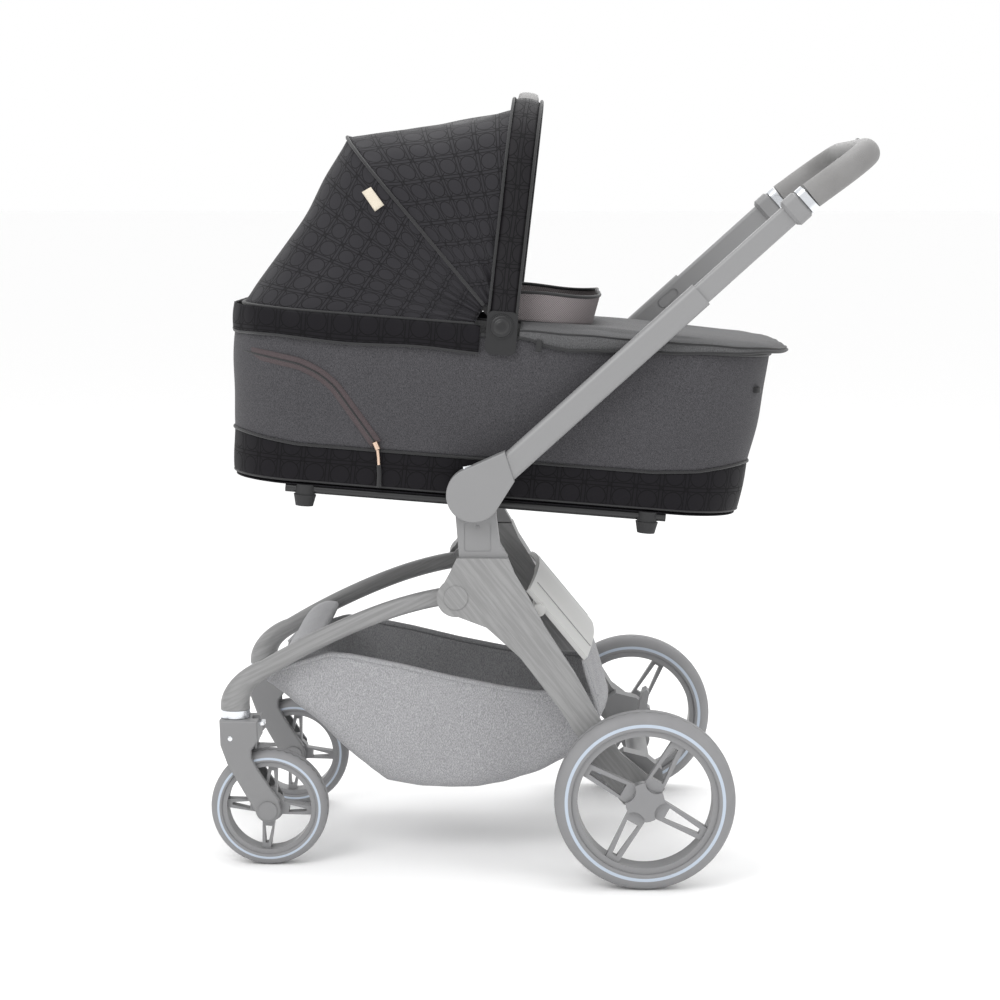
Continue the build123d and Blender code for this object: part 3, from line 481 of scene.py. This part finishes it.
def section(height):
    """x, y, run and outward direction along the tub's outline at a height, from the foot round by -Y."""
    t = height / COT_HEIGHT
    head, foot = -352 - 10 * t, 378 + 26 * t
    half, corner = 155 + 30 * t, 96 + 22 * t
    end, side = 2 * (half - corner), foot - head - 2 * corner
    stretches = [end / 2, corner, side, corner, end, corner, side, corner, end / 2]
    shares = np.concatenate([[0], np.cumsum([30, 151, 522, 151, 60, 151, 522, 151, 30])])
    where = np.linspace(0, 1, OUTLINE_POINTS, endpoint=False) * shares[-1]
    run = np.interp(where, shares, marks_of(stretches))
    places, normals = walk((foot, 0), -90, -1, stretches, run)
    return places[:, 0], places[:, 1], run, normals[:, 0], normals[:, 1]


FLOOR_AND_RIM = np.array([section(0), section(COT_HEIGHT)])


def outline(height, push=0.0):
    """x and y of the tub's outline, where each point has its own height, moved outwards by push."""
    low, high = FLOOR_AND_RIM
    return low[:2] + (high[:2] - low[:2]) * (height / COT_HEIGHT) + low[3:] * push


def wall(low, high, rows, push, seed, wave):
    """Rows of the tub's side between two heights that may vary with x, puffed between its seams."""
    x, _, run, nx, ny = section(COT_HEIGHT / 2)
    lower, upper = np.interp(x, *low), np.interp(x, *high)
    shares = np.linspace(0, 1, rows)
    points, uvs = [], []
    for t in shares:
        height = lower + (upper - lower) * t
        px, py = outline(height)
        drawn = np.clip(FLOOR_EDGE - height, 0, FLOOR_EDGE)
        inset = FLOOR_EDGE - np.sqrt(FLOOR_EDGE ** 2 - drawn ** 2)
        out = push * math.sin(math.pi * t) ** 0.6 - inset
        points.append(cot(px + nx * out, py + ny * out, height))
        uvs.append(np.stack([run / 1000, height / 1000], axis=-1))
    points, uvs = np.array(points), np.array(uvs)
    shift = ripples(points, 9, wave, 14, 60, seed)[..., None] * np.sin(np.pi * shares)[:, None, None]
    points += shift / 1000 * OUTWARD
    return points, uvs


OUTWARD = np.stack([*section(COT_HEIGHT / 2)[3:], np.zeros(OUTLINE_POINTS)], -1)[None]
seam_x, seam_z = [-400, -341, -250, 250, 314, 380, 420], [68, 66, 57, 57, 63, 75, 75]
whole_x = [-400, 420]
rim = (whole_x, [COT_HEIGHT, COT_HEIGHT])
points, uvs = wall((whole_x, [0.3, 0.3]), (seam_x, seam_z), 16, 1.3, 1, 0.8)
# The band's darker print is painted shade low on the tub.
grid("cot_band", points, uvs, True, band_print, "carrycot", 0.003, 1.0)
points, uvs = wall((seam_x, seam_z), rim, 30, 2.2, 2, 1.3)
tub = grid("cot_walls", points, uvs, True, cot_cloth, "carrycot", 0.003, 1.0)
points, uvs = wall((whole_x, [9, 9]), rim, 12, 0.0, 3, 0.4)
points += -0.008 * OUTWARD
grid("cot_lining", points, uvs, True, lining, "carrycot", 0.0015, -1.0)
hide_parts("cot_tub")


def tube(name, path, radius, look, body, closed=False):
    """A round cord, piping or tape along a path, as a curve with a round section."""
    curve = bpy.data.curves.new(name, "CURVE")
    curve.dimensions = "3D"
    curve.bevel_depth = radius
    curve.bevel_resolution = 3
    curve.use_fill_caps = True
    line = curve.splines.new("POLY")
    line.points.add(len(path) - 1)
    for point, place in zip(line.points, path):
        point.co = (*place, 1)
    line.use_cyclic_u = closed
    made = bpy.data.objects.new(name, curve)
    scene.collection.objects.link(made)
    curve.materials.append(look)
    if body:
        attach(made, body)
    return made


def on_wall(height, push):
    px, py = outline(height, push)
    return cot(px, py, height)


height = np.interp(section(COT_HEIGHT / 2)[0], seam_x, seam_z)
for name, level, push, radius in (("seam_piping", height, 1.2, 0.0019),
                                  ("rim_piping", COT_HEIGHT + 0 * height, 0.5, 0.003),
                                  ("floor_piping", 5 + 0 * height, -0.5, 0.0016)):
    tube(name, on_wall(level, push), radius, piping, "carrycot", True)
floor_rows = []
for t in np.linspace(0, 1, 9):
    x, y = outline(0.0)
    reach = (1 - t) * 0.992
    floor_rows.append(cot(FLOOR_MIDDLE + (x - FLOOR_MIDDLE) * reach, y * reach, 0.0 * x + 0.5))
floor_rows = np.array(floor_rows)
grid("cot_floor_cloth", floor_rows, floor_rows[..., :2], True, band_print, "carrycot", 0.002,
     1.0)


def side_y(x, z):
    """Y of the tub's left wall at x and height z, also where it curves in at the head."""
    t = z / COT_HEIGHT
    head, half, corner = -352 - 10 * t, 155 + 30 * t, 96 + 22 * t
    into = np.clip(head + corner - np.asarray(x, float), 0, corner - 1)
    return -(half - corner) - np.sqrt(corner ** 2 - into ** 2)


def smooth_path(points, count):
    """A soft curve that follows a few points and rounds them off."""
    points = np.array(points, float)
    step = np.concatenate([[0], np.cumsum(np.linalg.norm(np.diff(points, axis=0), axis=1))])
    where = np.linspace(0, step[-1], count)
    coarse = np.array([np.interp(where, step, points[:, i]) for i in range(points.shape[1])]).T
    for _ in range(max(2, count // 12)):
        coarse[1:-1] = (coarse[:-2] + 2 * coarse[1:-1] + coarse[2:]) / 4
    return coarse


zip_line = smooth_path([(-344, 181), (-299, 177), (-257, 172), (-228, 160), (-206, 144), (-183, 116),
                        (-160, 88), (-143, 67)], 70)
across = np.gradient(zip_line, axis=0)
across = np.stack([-across[:, 1], across[:, 0]], -1) / np.linalg.norm(across, axis=1)[:, None]
rows = []
for offset, lift in ((-8, 2.2), (-7.4, 3.6), (-1.5, 4.0), (0, 4.4), (1.5, 4.0), (7.4, 3.6), (8, 2.2)):
    place = zip_line + across * offset
    rows.append(cot(place[:, 0], side_y(place[:, 0], place[:, 1]) - lift, place[:, 1]))
rows = np.array(rows)
grid("zip_tape", rows, rows[..., ::2], False, zip_tape, "carrycot", 0.0008, 1.0)
TEETH = 150
dense = smooth_path(zip_line, TEETH)
lift = 4.4 + 0.5 * (np.arange(TEETH) % 2)
teeth = cot(dense[:, 0], side_y(dense[:, 0], dense[:, 1]) - lift, dense[:, 1])
tube("zip_teeth", teeth, 0.0016, piping, "carrycot")
for name, shape, radius, look, slot_name in (
        ("zip_slider", [(-145, 70, 6.5), (-140, 60, 6.5)], 0.0042, rose_metal, "bright_metal"),
        ("zip_puller", [(-140, 59, 7.5), (-138, 48, 8.0), (-137, 38, 8.0)], 0.0026, rose_metal,
         "bright_metal"),
        ("zip_tab", [(-137, 37, 8), (-135.5, 24, 8.5), (-135, 6, 8.5)], 0.0030, piping, "piping")):
    path = np.array(shape, float)
    place = cot(path[:, 0], side_y(path[:, 0], path[:, 1]) - path[:, 2], path[:, 1])
    tube(name, place, radius, look, "carrycot")


def puff(piece, pressure, most, frames=14):
    """Blows a closed padded piece up a little as cloth; no point moves further than most."""
    before = np.array([v.co for v in piece.data.vertices])
    cloth = piece.modifiers.new("cloth", "CLOTH")
    cloth.settings.use_pressure = True
    cloth.settings.uniform_pressure_force = pressure
    cloth.settings.mass = 0.2
    cloth.settings.tension_stiffness = 12
    cloth.settings.bending_stiffness = 0.4
    cloth.settings.effector_weights.gravity = 0
    cloth.collision_settings.use_collision = False
    cloth.point_cache.frame_start, cloth.point_cache.frame_end = 1, frames
    for number in range(1, frames + 1):
        scene.frame_set(number)
    bpy.context.view_layer.update()
    solved = piece.evaluated_get(bpy.context.evaluated_depsgraph_get()).to_mesh()
    after = np.array([v.co for v in solved.vertices])
    piece.modifiers.remove(cloth)
    scene.frame_set(1)
    if after.shape != before.shape or not np.isfinite(after).all():
        return
    move = after - before
    far = np.linalg.norm(move, axis=1, keepdims=True)
    move *= np.minimum(1, most / np.maximum(far, 1e-9))
    piece.data.vertices.foreach_set("co", (before + move).astype(np.float32).ravel())
    piece.data.update()


# ---------------------------------------------------------------- mattress
# A thin foam mattress in a quilted cover, which fills the tub's floor.
rows = []
for t in np.linspace(0, 1, 26):
    x, y = section(30)[:2]
    reach = math.sin(t * math.pi / 2)
    crown = 16 + 32 * math.cos(t * math.pi / 2) ** 0.35 if t < 1 else 16
    rows.append(cot(FLOOR_MIDDLE + (x - FLOOR_MIDDLE) * 0.955 * reach, y * 0.915 * reach, crown + 0 * x))
rows = np.array(rows)
rows[..., 2] += ripples(rows, 10, 0.0012, 30, 110, 4) * (np.linspace(1, 0, 26)[:, None])
mattress = grid("mattress_pad", rows, rows[..., :2], True, mattress_cloth, None, 0.0)
puff(mattress, 2.0, 0.003)
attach(mattress, "carrycot")
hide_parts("mattress")

# ---------------------------------------------------------------- hood
# Two panels of printed cloth stretched over a thin rib and a padded front bow, with piped seams.
HINGE = (20.0, 246.0)
ARCH_POINTS = 161
CROWN = ARCH_POINTS // 2
# Each arch's angle from the foot end, its reach from the hinge and its corner radius.
ARCH = {"rim": (180.0, 372.0, 112.0), "rib": (134.5, 341.0, 104.0), "bow": (88.0, 304.0, 92.0)}


def arch_line(which, inset=0.0, start=38.0, half=184.0, shift=0.0):
    """x, y, z and run along an arch, from its left foot over the top, in the cot's own frame."""
    angle, reach, corner = ARCH[which]
    half, reach, corner = half - inset, reach - inset, corner - inset
    a = math.radians(angle)
    stretches = u_shape(start, reach, half, corner)
    shares = np.concatenate([[0], np.cumsum([200, 170, 160, 170, 200])])
    run = np.interp(np.linspace(0, shares[-1], ARCH_POINTS), shares, marks_of(stretches))
    y, r = walk((-half, start), 90, -1, stretches, run)[0].T
    if which == "bow":
        r = r + 13 * (1 - (y / half) ** 2) * np.clip(r / reach, 0, 1) ** 4
    x = HINGE[0] + r * math.cos(a) + shift * math.sin(a)
    z = HINGE[1] + r * math.sin(a) - shift * math.cos(a)
    return x, y, z, run


def hood_panel(name, start, end, shift, sag, seed, node):
    """Cloth between two arches: it sags in the middle and is drawn into small puckers at its seams."""
    xa, ya, za, run = arch_line(start)
    xb, yb, zb, _ = arch_line(end, shift=shift)
    rows, uvs = [], []
    middle = np.array([HINGE[0], 0.0, HINGE[1]])
    length = np.linalg.norm(np.array([xb[CROWN] - xa[CROWN], zb[CROWN] - za[CROWN]]))
    s = np.linspace(0, 1, ARCH_POINTS)
    feet = np.exp(-((s - 0.04) / 0.10) ** 2) + np.exp(-((s - 0.96) / 0.10) ** 2)
    shares = np.linspace(0, 1, 44)
    for t in shares:
        p = np.stack([xa + (xb - xa) * t, ya + (yb - ya) * t, za + (zb - za) * t], -1)
        out = p - middle
        out /= np.linalg.norm(out, axis=1)[:, None]
        hang = math.sin(math.pi * t)
        drop = sag * hang * (0.35 + 0.65 * np.sin(np.pi * s))
        pucker = 1.1 * np.sin(s * 150 + seed) * (math.exp(-t * 14) + math.exp(-(1 - t) * 14))
        pucker *= math.sin(math.pi * min(1, 12 * t * (1 - t) + 0.02))
        fan = 2.6 * np.sin(9 * math.pi * t + 2.2 * np.sin(s * 5)) * feet * hang
        p = p - out * (drop + pucker + fan)[:, None]
        rows.append(cot(p[:, 0], p[:, 1], p[:, 2]))
        uvs.append(np.stack([run / 1000, np.full(ARCH_POINTS, t * length / 1000)], -1))
    rows, uvs = np.array(rows), np.array(uvs)
    out = rows - np.array(cot(*middle))
    out /= np.linalg.norm(out, axis=-1)[..., None]
    hold = np.sin(np.pi * shares)[:, None, None]
    rows += out * (ripples(rows, 12, 0.0030, 18, 70, seed))[..., None] * hold
    made = grid(name, rows, uvs, False, hood_print, None, 0.0022, 1.0)
    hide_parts(node)
    return made, rows


rear_hood, rear_rows = hood_panel("hood_rear", "rim", "rib", 0.0, 8.0, 11, "hood_rear_cloth")
front_hood, front_rows = hood_panel("hood_front", "rib", "bow", 20.4, 5.0, 12, "hood_front_cloth")


def deform(piece):
    """Turns thickness into real mesh and bakes the piece's place into its points."""
    bpy.context.view_layer.objects.active = piece
    for other in bpy.context.selected_objects:
        other.select_set(False)
    piece.select_set(True)
    if piece.type == "CURVE":
        bpy.ops.object.convert(target="MESH")
        piece = bpy.context.view_layer.objects.active
    for modifier in list(piece.modifiers):
        bpy.ops.object.modifier_apply(modifier=modifier.name)
    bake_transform(piece)


deform(rear_hood)
deform(front_hood)
for name, arch, inset, radius, body in (("rib_piping", "rib", -1.5, 0.0024, "hood_rib"),
                                        ("hood_hem", "rim", -1.0, 0.0026, "carrycot")):
    x, y, z, _ = arch_line(arch, inset=inset)
    tube(name, cot(x, y, z), radius, piping, body)

# ---------------------------------------------------------------- front bow
# The padded front bow wears the same cloth in a darker copy, which is painted shade, with piping along both
# edges and a leather hand loop on top.
rows, uvs = [], []
profile = [(-20, 0.0), (-19.4, 2.2), (-14, 4.6), (-6, 5.4), (0, 5.6), (6, 5.4), (14, 4.6), (19.4, 2.2),
           (20, 0.0), (19.6, -3.4), (15, -5.0), (0, -5.4), (-15, -5.0), (-19.6, -3.4)]
for across, rise in profile:
    x, y, z, run = arch_line("bow", inset=3.6 - rise, start=12, half=186.5, shift=across)
    rows.append(cot(x, y, z))
    uvs.append(np.stack([run / 1000, np.full(len(x), across / 1000)], -1))
rows, uvs = np.array(rows).transpose(1, 0, 2), np.array(uvs).transpose(1, 0, 2)
rows[..., 0] += ripples(rows, 8, 0.0008, 40, 130, 21)
bow = grid("bow_cover", rows, uvs, True, bow_print, None, 0.0)
puff(bow, 3.0, 0.0015)
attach(bow, "hood_bow")
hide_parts("hood_bow")
for word, shift in (("back", -19.6), ("front", 19.6)):
    x, y, z, _ = arch_line("bow", inset=-1.2, start=14, half=186.5, shift=shift)
    tube(f"bow_piping_{word}", cot(x, y, z), 0.0021, piping, "hood_bow")
s = np.linspace(-1, 1, 41)
bow_angle = math.radians(ARCH["bow"][0])
loop_rows = []
for angle in np.linspace(0, 2 * math.pi, 16, endpoint=False):
    along, up = 13 * math.cos(angle) * (1 + 0.1 * s ** 2), 3.6 * math.sin(angle)
    reach = 317 - 3 * s ** 2 + 8.5 * (1 - s ** 6) + up
    x = HINGE[0] + reach * math.cos(bow_angle) + along * math.sin(bow_angle)
    z = HINGE[1] + reach * math.sin(bow_angle) - along * math.cos(bow_angle)
    loop_rows.append(cot(x, s * 74, z))
loop_rows = np.array(loop_rows).transpose(1, 0, 2)
grid("bow_hand_loop", loop_rows, loop_rows[..., :2], True, grip_leather, "hood_bow", 0.0)

# ---------------------------------------------------------------- blank label
# A small folded cloth label sewn into the rib seam on the left side.
corners = np.array([[(-186, 415), (-174, 423)], [(-166, 390), (-154, 400)]], float)
share = np.linspace(0, 1, 7)
u, v = share[:, None, None], share[None, :, None]
flat = (1 - u) * ((1 - v) * corners[0, 0] + v * corners[0, 1])
flat = flat + u * ((1 - v) * corners[1, 0] + v * corners[1, 1])
label_y = -186.2 - 1.6 * np.sin(math.pi * share) + 0 * flat[..., 0]
label = np.stack([flat[..., 0], label_y, flat[..., 1]], -1)
grid("rib_label", cot(label[..., 0], label[..., 1], label[..., 2]), label[..., ::2] / 1000, False,
     label_cloth, "hood_rib", 0.0006, 1.0)

# ---------------------------------------------------------------- valance
# The cloth band that covers the rim below the hood, gathered a little and hemmed.
rows, uvs = [], []
x, y, run, nx, ny = section(COT_HEIGHT)
keep = x < -3
order = np.argsort(run[keep])
for t in np.linspace(0, 1, 12):
    height = 208 + (245.4 - 208) * t
    wave = 0.9 * np.sin(run[keep] / 9.0) * (1 - t) + 0.5 * np.sin(run[keep] / 4.1) * t
    push = 3.2 + 1.6 * math.sin(math.pi * t) + wave
    px, py = x[keep] + nx[keep] * push, y[keep] + ny[keep] * push
    rows.append(cot(px[order], py[order], height + 0 * px + 1.6 * np.sin(run[keep] / 31.0) * (1 - t)))
    uvs.append(np.stack([run[keep][order] / 1000, np.full(int(keep.sum()), height / 1000)], -1))
rows, uvs = np.array(rows), np.array(uvs)
valance = grid("valance_band", rows, uvs, False, hood_print, "carrycot", 0.0025, 0.0)
# The valance takes the darker copy of the printed cloth: painted shade.
valance.data.materials[0] = band_print
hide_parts("valance")
tube("valance_hem", rows[0], 0.0022, piping, "carrycot")

# ---------------------------------------------------------------- apron
# The apron is a lid of melange cloth on the rim of the foot half. Its skirt hangs over the rim, and
# its skirt, edge and mouth are hemmed.


def apron_edges(count=181):
    """Outer line round the foot and the mouth line inside it, point for point, from the left front."""
    start, half, mouth_half = 46, 185.0, 144.0
    skirt = u_shape(start, 424.0, half, 118.0)
    mouth = u_shape(start, 141.0, mouth_half, 60.0)
    marks = marks_of(skirt)
    run = np.linspace(0, 1, count) * marks[-1]
    outer, normal = walk((start, -half), 0, 1, skirt, run)
    inner, _ = walk((start, -mouth_half), 0, 1, mouth, np.interp(run, marks, marks_of(mouth)))
    return outer, normal, inner, run


outer, normal, inner, run = apron_edges()
rows, uvs = [], []
lower = np.interp(outer[:, 0], [46, 61, 82, 118, 242, 387, 424], [233, 231, 224, 220, 227, 237, 239])
for push, height in ((4.6, None), (5.4, 232), (5.0, 238), (2.6, 242.5), (-2.5, 245.5), (-10, 248),
                     (-18, 249.6)):
    edge = outer + normal * push
    wave = 0.5 * np.sin(run / 13.0)
    level = lower + wave if height is None else np.maximum(lower + 2, height + wave)
    rows.append(cot(edge[:, 0], edge[:, 1], level))
    uvs.append(np.stack([run / 1000, np.full(len(run), (height or 222) / 1000)], -1))
start = outer + normal * -18
for t in np.linspace(0.06, 1, 20):
    place = start + (inner - start) * t
    crown = 249.6 + 3.4 * math.sin(math.pi * t * 0.5) + 1.6 * math.sin(math.pi * t)
    rows.append(cot(place[:, 0], place[:, 1], crown + 0.0 * run))
    uvs.append(np.stack([run / 1000, np.full(len(run), 0.27 + 0.1 * t)], -1))
rows, uvs = np.array(rows), np.array(uvs)
level = np.concatenate([np.zeros(4), np.linspace(0, 1, 20), np.linspace(1, 0.2, 3)])[:, None]
rows[..., 2] += ripples(rows, 12, 0.0013, 14, 55, 31) * level
apron = grid("apron_cover", rows, uvs, False, apron_cloth, "carrycot", 0.0028, -1.0)
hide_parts("apron")
tube("apron_hem", rows[0], 0.0020, piping, "carrycot")
tube("apron_edge", rows[3], 0.0016, piping, "carrycot")
tube("apron_mouth_hem", rows[-1], 0.0022, piping, "carrycot")

# ---------------------------------------------------------------- wind flap
# A collar of warm grey spacer mesh with dark bound edges, which stands at the apron's mouth.
FLAP_START, FLAP_HALF, FLAP_CORNER = 36, 150.0, 66.0
FLAP_FOOT, FLAP_TOP = 253.4, 297.5
rows, uvs = [], []
for t in np.linspace(0, 1, 10):
    stretches = u_shape(FLAP_START, 146 + 8 * t, FLAP_HALF, FLAP_CORNER)
    run = np.linspace(0, marks_of(stretches)[-1], 121)
    x, y = walk((FLAP_START, -FLAP_HALF), 0, 1, stretches, run)[0].T
    fall = 4 * (y / FLAP_HALF) ** 2
    height = FLAP_FOOT + (FLAP_TOP - FLAP_FOOT) * t - fall * t + 1.4 * np.sin(run / 23) * t
    rows.append(cot(x + 0.8 * np.sin(run / 17) * t, y, height))
    uvs.append(np.stack([run, height - 250], -1) / 1000)
rows, uvs = np.array(rows), np.array(uvs)
flap = grid("wind_flap_mesh", rows, uvs, False, flap_mesh, "wind_flap", 0.0022, 0.0)
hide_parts("wind_flap")
edge = np.concatenate([rows[:, 0], rows[-1], rows[::-1, -1]])
tube("flap_binding", edge, 0.0026, piping, "wind_flap")
tube("flap_foot", rows[0], 0.0020, piping, "wind_flap")

# ---------------------------------------------------------------- basket
# A soft basket of pale melange cloth, hung from the front sleeve and the rear panel.
bottom_x = [-393, -364, -343, -315, -293, -272, -241, -222, -172, -129, -93, -57, 0, 23, 48, 70, 84]
bottom_z = [259, 240, 223, 200, 176, 156, 130, 115, 106, 104, 105, 112, 130, 143, 156, 176, 214]
rim_x = [-393, -378, -345, -302, -271, -200, -128, -57, -7, 45, 84]
rim_z = [262, 277, 289, 302, 299, 285, 268, 254, 246.5, 246, 240]
rows, uvs = [], []
for x in np.concatenate([np.linspace(-392, -200, 30), np.linspace(-192, 20, 30), np.linspace(25, 82, 14)]):
    low_z, high_z = np.interp(x, bottom_x, bottom_z), np.interp(x, rim_x, rim_z)
    tuck = np.interp(x, [-392, -350, 60, 82], [0.90, 1.0, 1.0, 0.97])
    row, along = [], []
    share = np.clip((low_z - 124) / 91, 0, 1)
    if low_z < 124:
        bulge_z, side_z, floor_z = max(190, low_z + 12), low_z + 24, low_z - 2
    else:
        bulge_z, side_z, floor_z = max(215, low_z + 10), low_z + 10, low_z
    side = [(149, high_z), (149, bulge_z), (146 + 3 * share, side_z), (137 + 5 * share, low_z), (0, floor_z)]
    if high_z - low_z <= 20:
        del side[1]
    side = smooth_path(side, 33)
    for s in np.linspace(-1, 1, 65):
        y, height = side[int(round((1 - abs(s)) * 32))]
        row.append((x, math.copysign(y * tuck, s), height))
        along.append((x / 1000, s * 0.25))
    rows.append(row)
    uvs.append(along)
rows, uvs = np.array(rows) / 1000, np.array(uvs)
depth = (np.sin(np.linspace(0, math.pi, 65)) ** 0.5)[None, :]
folds = ripples(rows, 10, 0.0022, 16, 70, 41) * depth
rows[..., 1] += folds * np.sign(rows[..., 1])
rows[..., 2] += folds * 0.6
rows[..., 2] = np.maximum(rows[..., 2], 0.100)
basket = grid("basket_cloth", rows, uvs, False, basket_cloth, None, 0.0024, 1.0)
rim_left, rim_right = rows[:, 0], rows[:, -1]
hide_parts("basket")
trims = [("basket_hem_left", rim_left, 0.0042), ("basket_hem_right", rim_right, 0.0042),
         ("basket_seam_left", rows[:, 14], 0.0016), ("basket_seam_right", rows[:, 50], 0.0016)]
trims = [tube(name, place, size, basket_cloth, None) for name, place, size in trims]
for piece in [basket] + trims:
    deform(piece)

# ---------------------------------------------------------------- cross sleeve and rear skirt
# A padded sleeve round the front cross tube, and the cloth skirt below the rear panel.
rows = []
for y in np.linspace(-1, 1, 60):
    ease = 1 - 0.10 * abs(y) ** 8
    t = math.radians(32)
    row = []
    for a in np.linspace(0, 2 * math.pi, 40, endpoint=False):
        px, pz = 29.4 * ease * math.cos(a), 16.6 * ease * math.sin(a)
        row.append((-0.340 + (px * math.cos(t) - pz * math.sin(t)) / 1000, 0.1455 * y,
                    0.311 + (px * math.sin(t) + pz * math.cos(t)) / 1000))
    rows.append(row)
rows = np.array(rows)
bulge = ripples(rows, 9, 0.0007, 60, 180, 51)
middle = np.array([-0.340, 0, 0.311])
out = (rows - middle) * np.array([1, 0, 1])
out /= np.linalg.norm(out, axis=-1)[..., None]
rows += out * bulge[..., None]
sleeve = grid("sleeve_pad", rows, rows[..., :2], True, basket_cloth, None, 0.0)
puff(sleeve, 3.0, 0.002)
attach(sleeve, "front_frame")
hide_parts("cross_sleeve")

rows, uvs = [], []
for t in np.linspace(0, 1, 22):
    row, along = [], []
    a = math.radians(-74)
    d = 84 * t
    for s in np.linspace(-1, 1, 61):
        bulge = 2 - 16 * (1 - s * s)
        fold = 1.4 * math.sin(s * 17 + 2 * t) * math.sin(math.pi * t)
        base = np.array([61.5 + d * math.cos(a), 0, 299 + d * math.sin(a)])
        place = base + np.array([math.sin(a), 0, -math.cos(a)]) * (bulge + fold)
        row.append((place[0], 171 * s, place[2]))
        along.append((s * 0.17, d / 1000))
    rows.append(row)
    uvs.append(along)
rows, uvs = np.array(rows) / 1000, np.array(uvs)
skirt = grid("skirt_cloth", rows, uvs, False, basket_cloth, "rear_frame", 0.0028, 0.0)
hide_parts("rear_skirt")
for side, at in (("left", -0.72), ("right", 0.72)):
    a = math.radians(-50.5)
    seam = []
    for d in np.linspace(6, 126, 30):
        rise = -16 * (1 - at * at) - 7.2
        seam_x = -20 + d * math.cos(a) + math.sin(a) * rise
        seam_z = 398 + d * math.sin(a) - math.cos(a) * rise
        seam.append((seam_x / 1000, at * 0.172, seam_z / 1000))
    tube(f"panel_seam_{side}", seam, 0.0009, cover_grey, "rear_frame")
tube("skirt_hem", rows[-1], 0.0024, basket_cloth, "rear_frame")
for side, column in (("left", 2), ("right", 58)):
    tube(f"skirt_edge_{side}", rows[:, column], 0.0022, basket_cloth, "rear_frame")

# ---------------------------------------------------------------- small trim
# Screws on the forks and stalks, discs over the hood's hinges, strap loops at the foot of the cot and
# a tab on the apron.


def disc(name, place, direction, radius, thick, look, body):
    """A shallow turned head with a rounded edge."""
    mesh = bpy.data.meshes.new(name)
    rings = [(0, thick), (0.55, thick), (0.86, thick * 0.92), (1.0, thick * 0.5), (1.0, -thick)]
    n = Vector(direction).normalized()
    side = n.orthogonal().normalized()
    other = n.cross(side)
    points, faces = [], []
    count = 32
    for share, rise in rings:
        for k in range(count):
            a = k * math.tau / count
            spoke = side * radius * share * math.cos(a) + other * radius * share * math.sin(a)
            points.append(Vector(place) + spoke + n * rise)
    for i in range(len(rings) - 1):
        here, above = i * count, (i + 1) * count
        for k in range(count):
            after = (k + 1) % count
            faces.append((here + k, above + k, above + after, here + after))
    mesh.from_pydata(points, [], faces)
    mesh.shade_smooth()
    mesh.materials.append(look)
    made = bpy.data.objects.new(name, mesh)
    scene.collection.objects.link(made)
    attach(made, body)
    return made


for side, word in ((-1, "left"), (1, "right")):
    low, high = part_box(f"castor_fork_{word}")
    face = low.y if side < 0 else high.y
    out = (0, side, 0)
    disc(f"fork_screw_{word}", (-0.4395, face, 0.188), out, 0.0035, 0.0008, bright, f"castor_{word}")
    disc(f"stalk_screw_{word}", (-0.088, side * 0.1928, 0.492), out, 0.003, 0.0006, fork_grey,
         "rear_frame")
    spot = tuple(cot(HINGE[0], side * 194.0, HINGE[1]))
    for size, rise, look in ((15.2, 1.4, black_plastic), (11.5, 2.0, black_steel), (8.6, 2.4, black_plastic)):
        disc(f"hinge_disc_{int(size)}_{word}", spot, out, size / 1000, rise / 1000, look, "carrycot")
strap = smooth_path([(-0.5, -1), (0.5, 7), (6, 9), (11.5, 7), (12.5, -1)], 26)
strap_x, strap_z = 384, 182
px, py = outline(strap_z)
for word, wrong in (("left", py > 0), ("right", py < 0)):
    at = int(np.argmin(np.abs(px - strap_x) + wrong * 1e4))
    nx, ny = FLOOR_AND_RIM[1, 3:, at]
    side, out = strap[:, 0] - 6, strap[:, 1] * 0.8 + 1
    place = cot(px[at] + nx * out - ny * side, py[at] + ny * out + nx * side, strap_z + 0 * side)
    rows = np.array([place + np.array([0, 0, dz]) for dz in np.linspace(-0.004, 0.004, 5)])
    grid(f"foot_strap_{word}", rows, rows[..., ::2], False, piping, "carrycot", 0.0014, 0.0)
across, down = np.meshgrid([-1, -0.5, 0, 0.5, 1], np.linspace(0, 1, 8))
tab = np.stack([74 + 4 * across, -191.6 - 0.8 * np.sin(3 * down), 232 - 17 * down], -1)
grid("apron_tab", cot(tab[..., 0], tab[..., 1], tab[..., 2]), tab[..., ::2] / 1000, False, piping,
     "carrycot", 0.0012, 0.0)
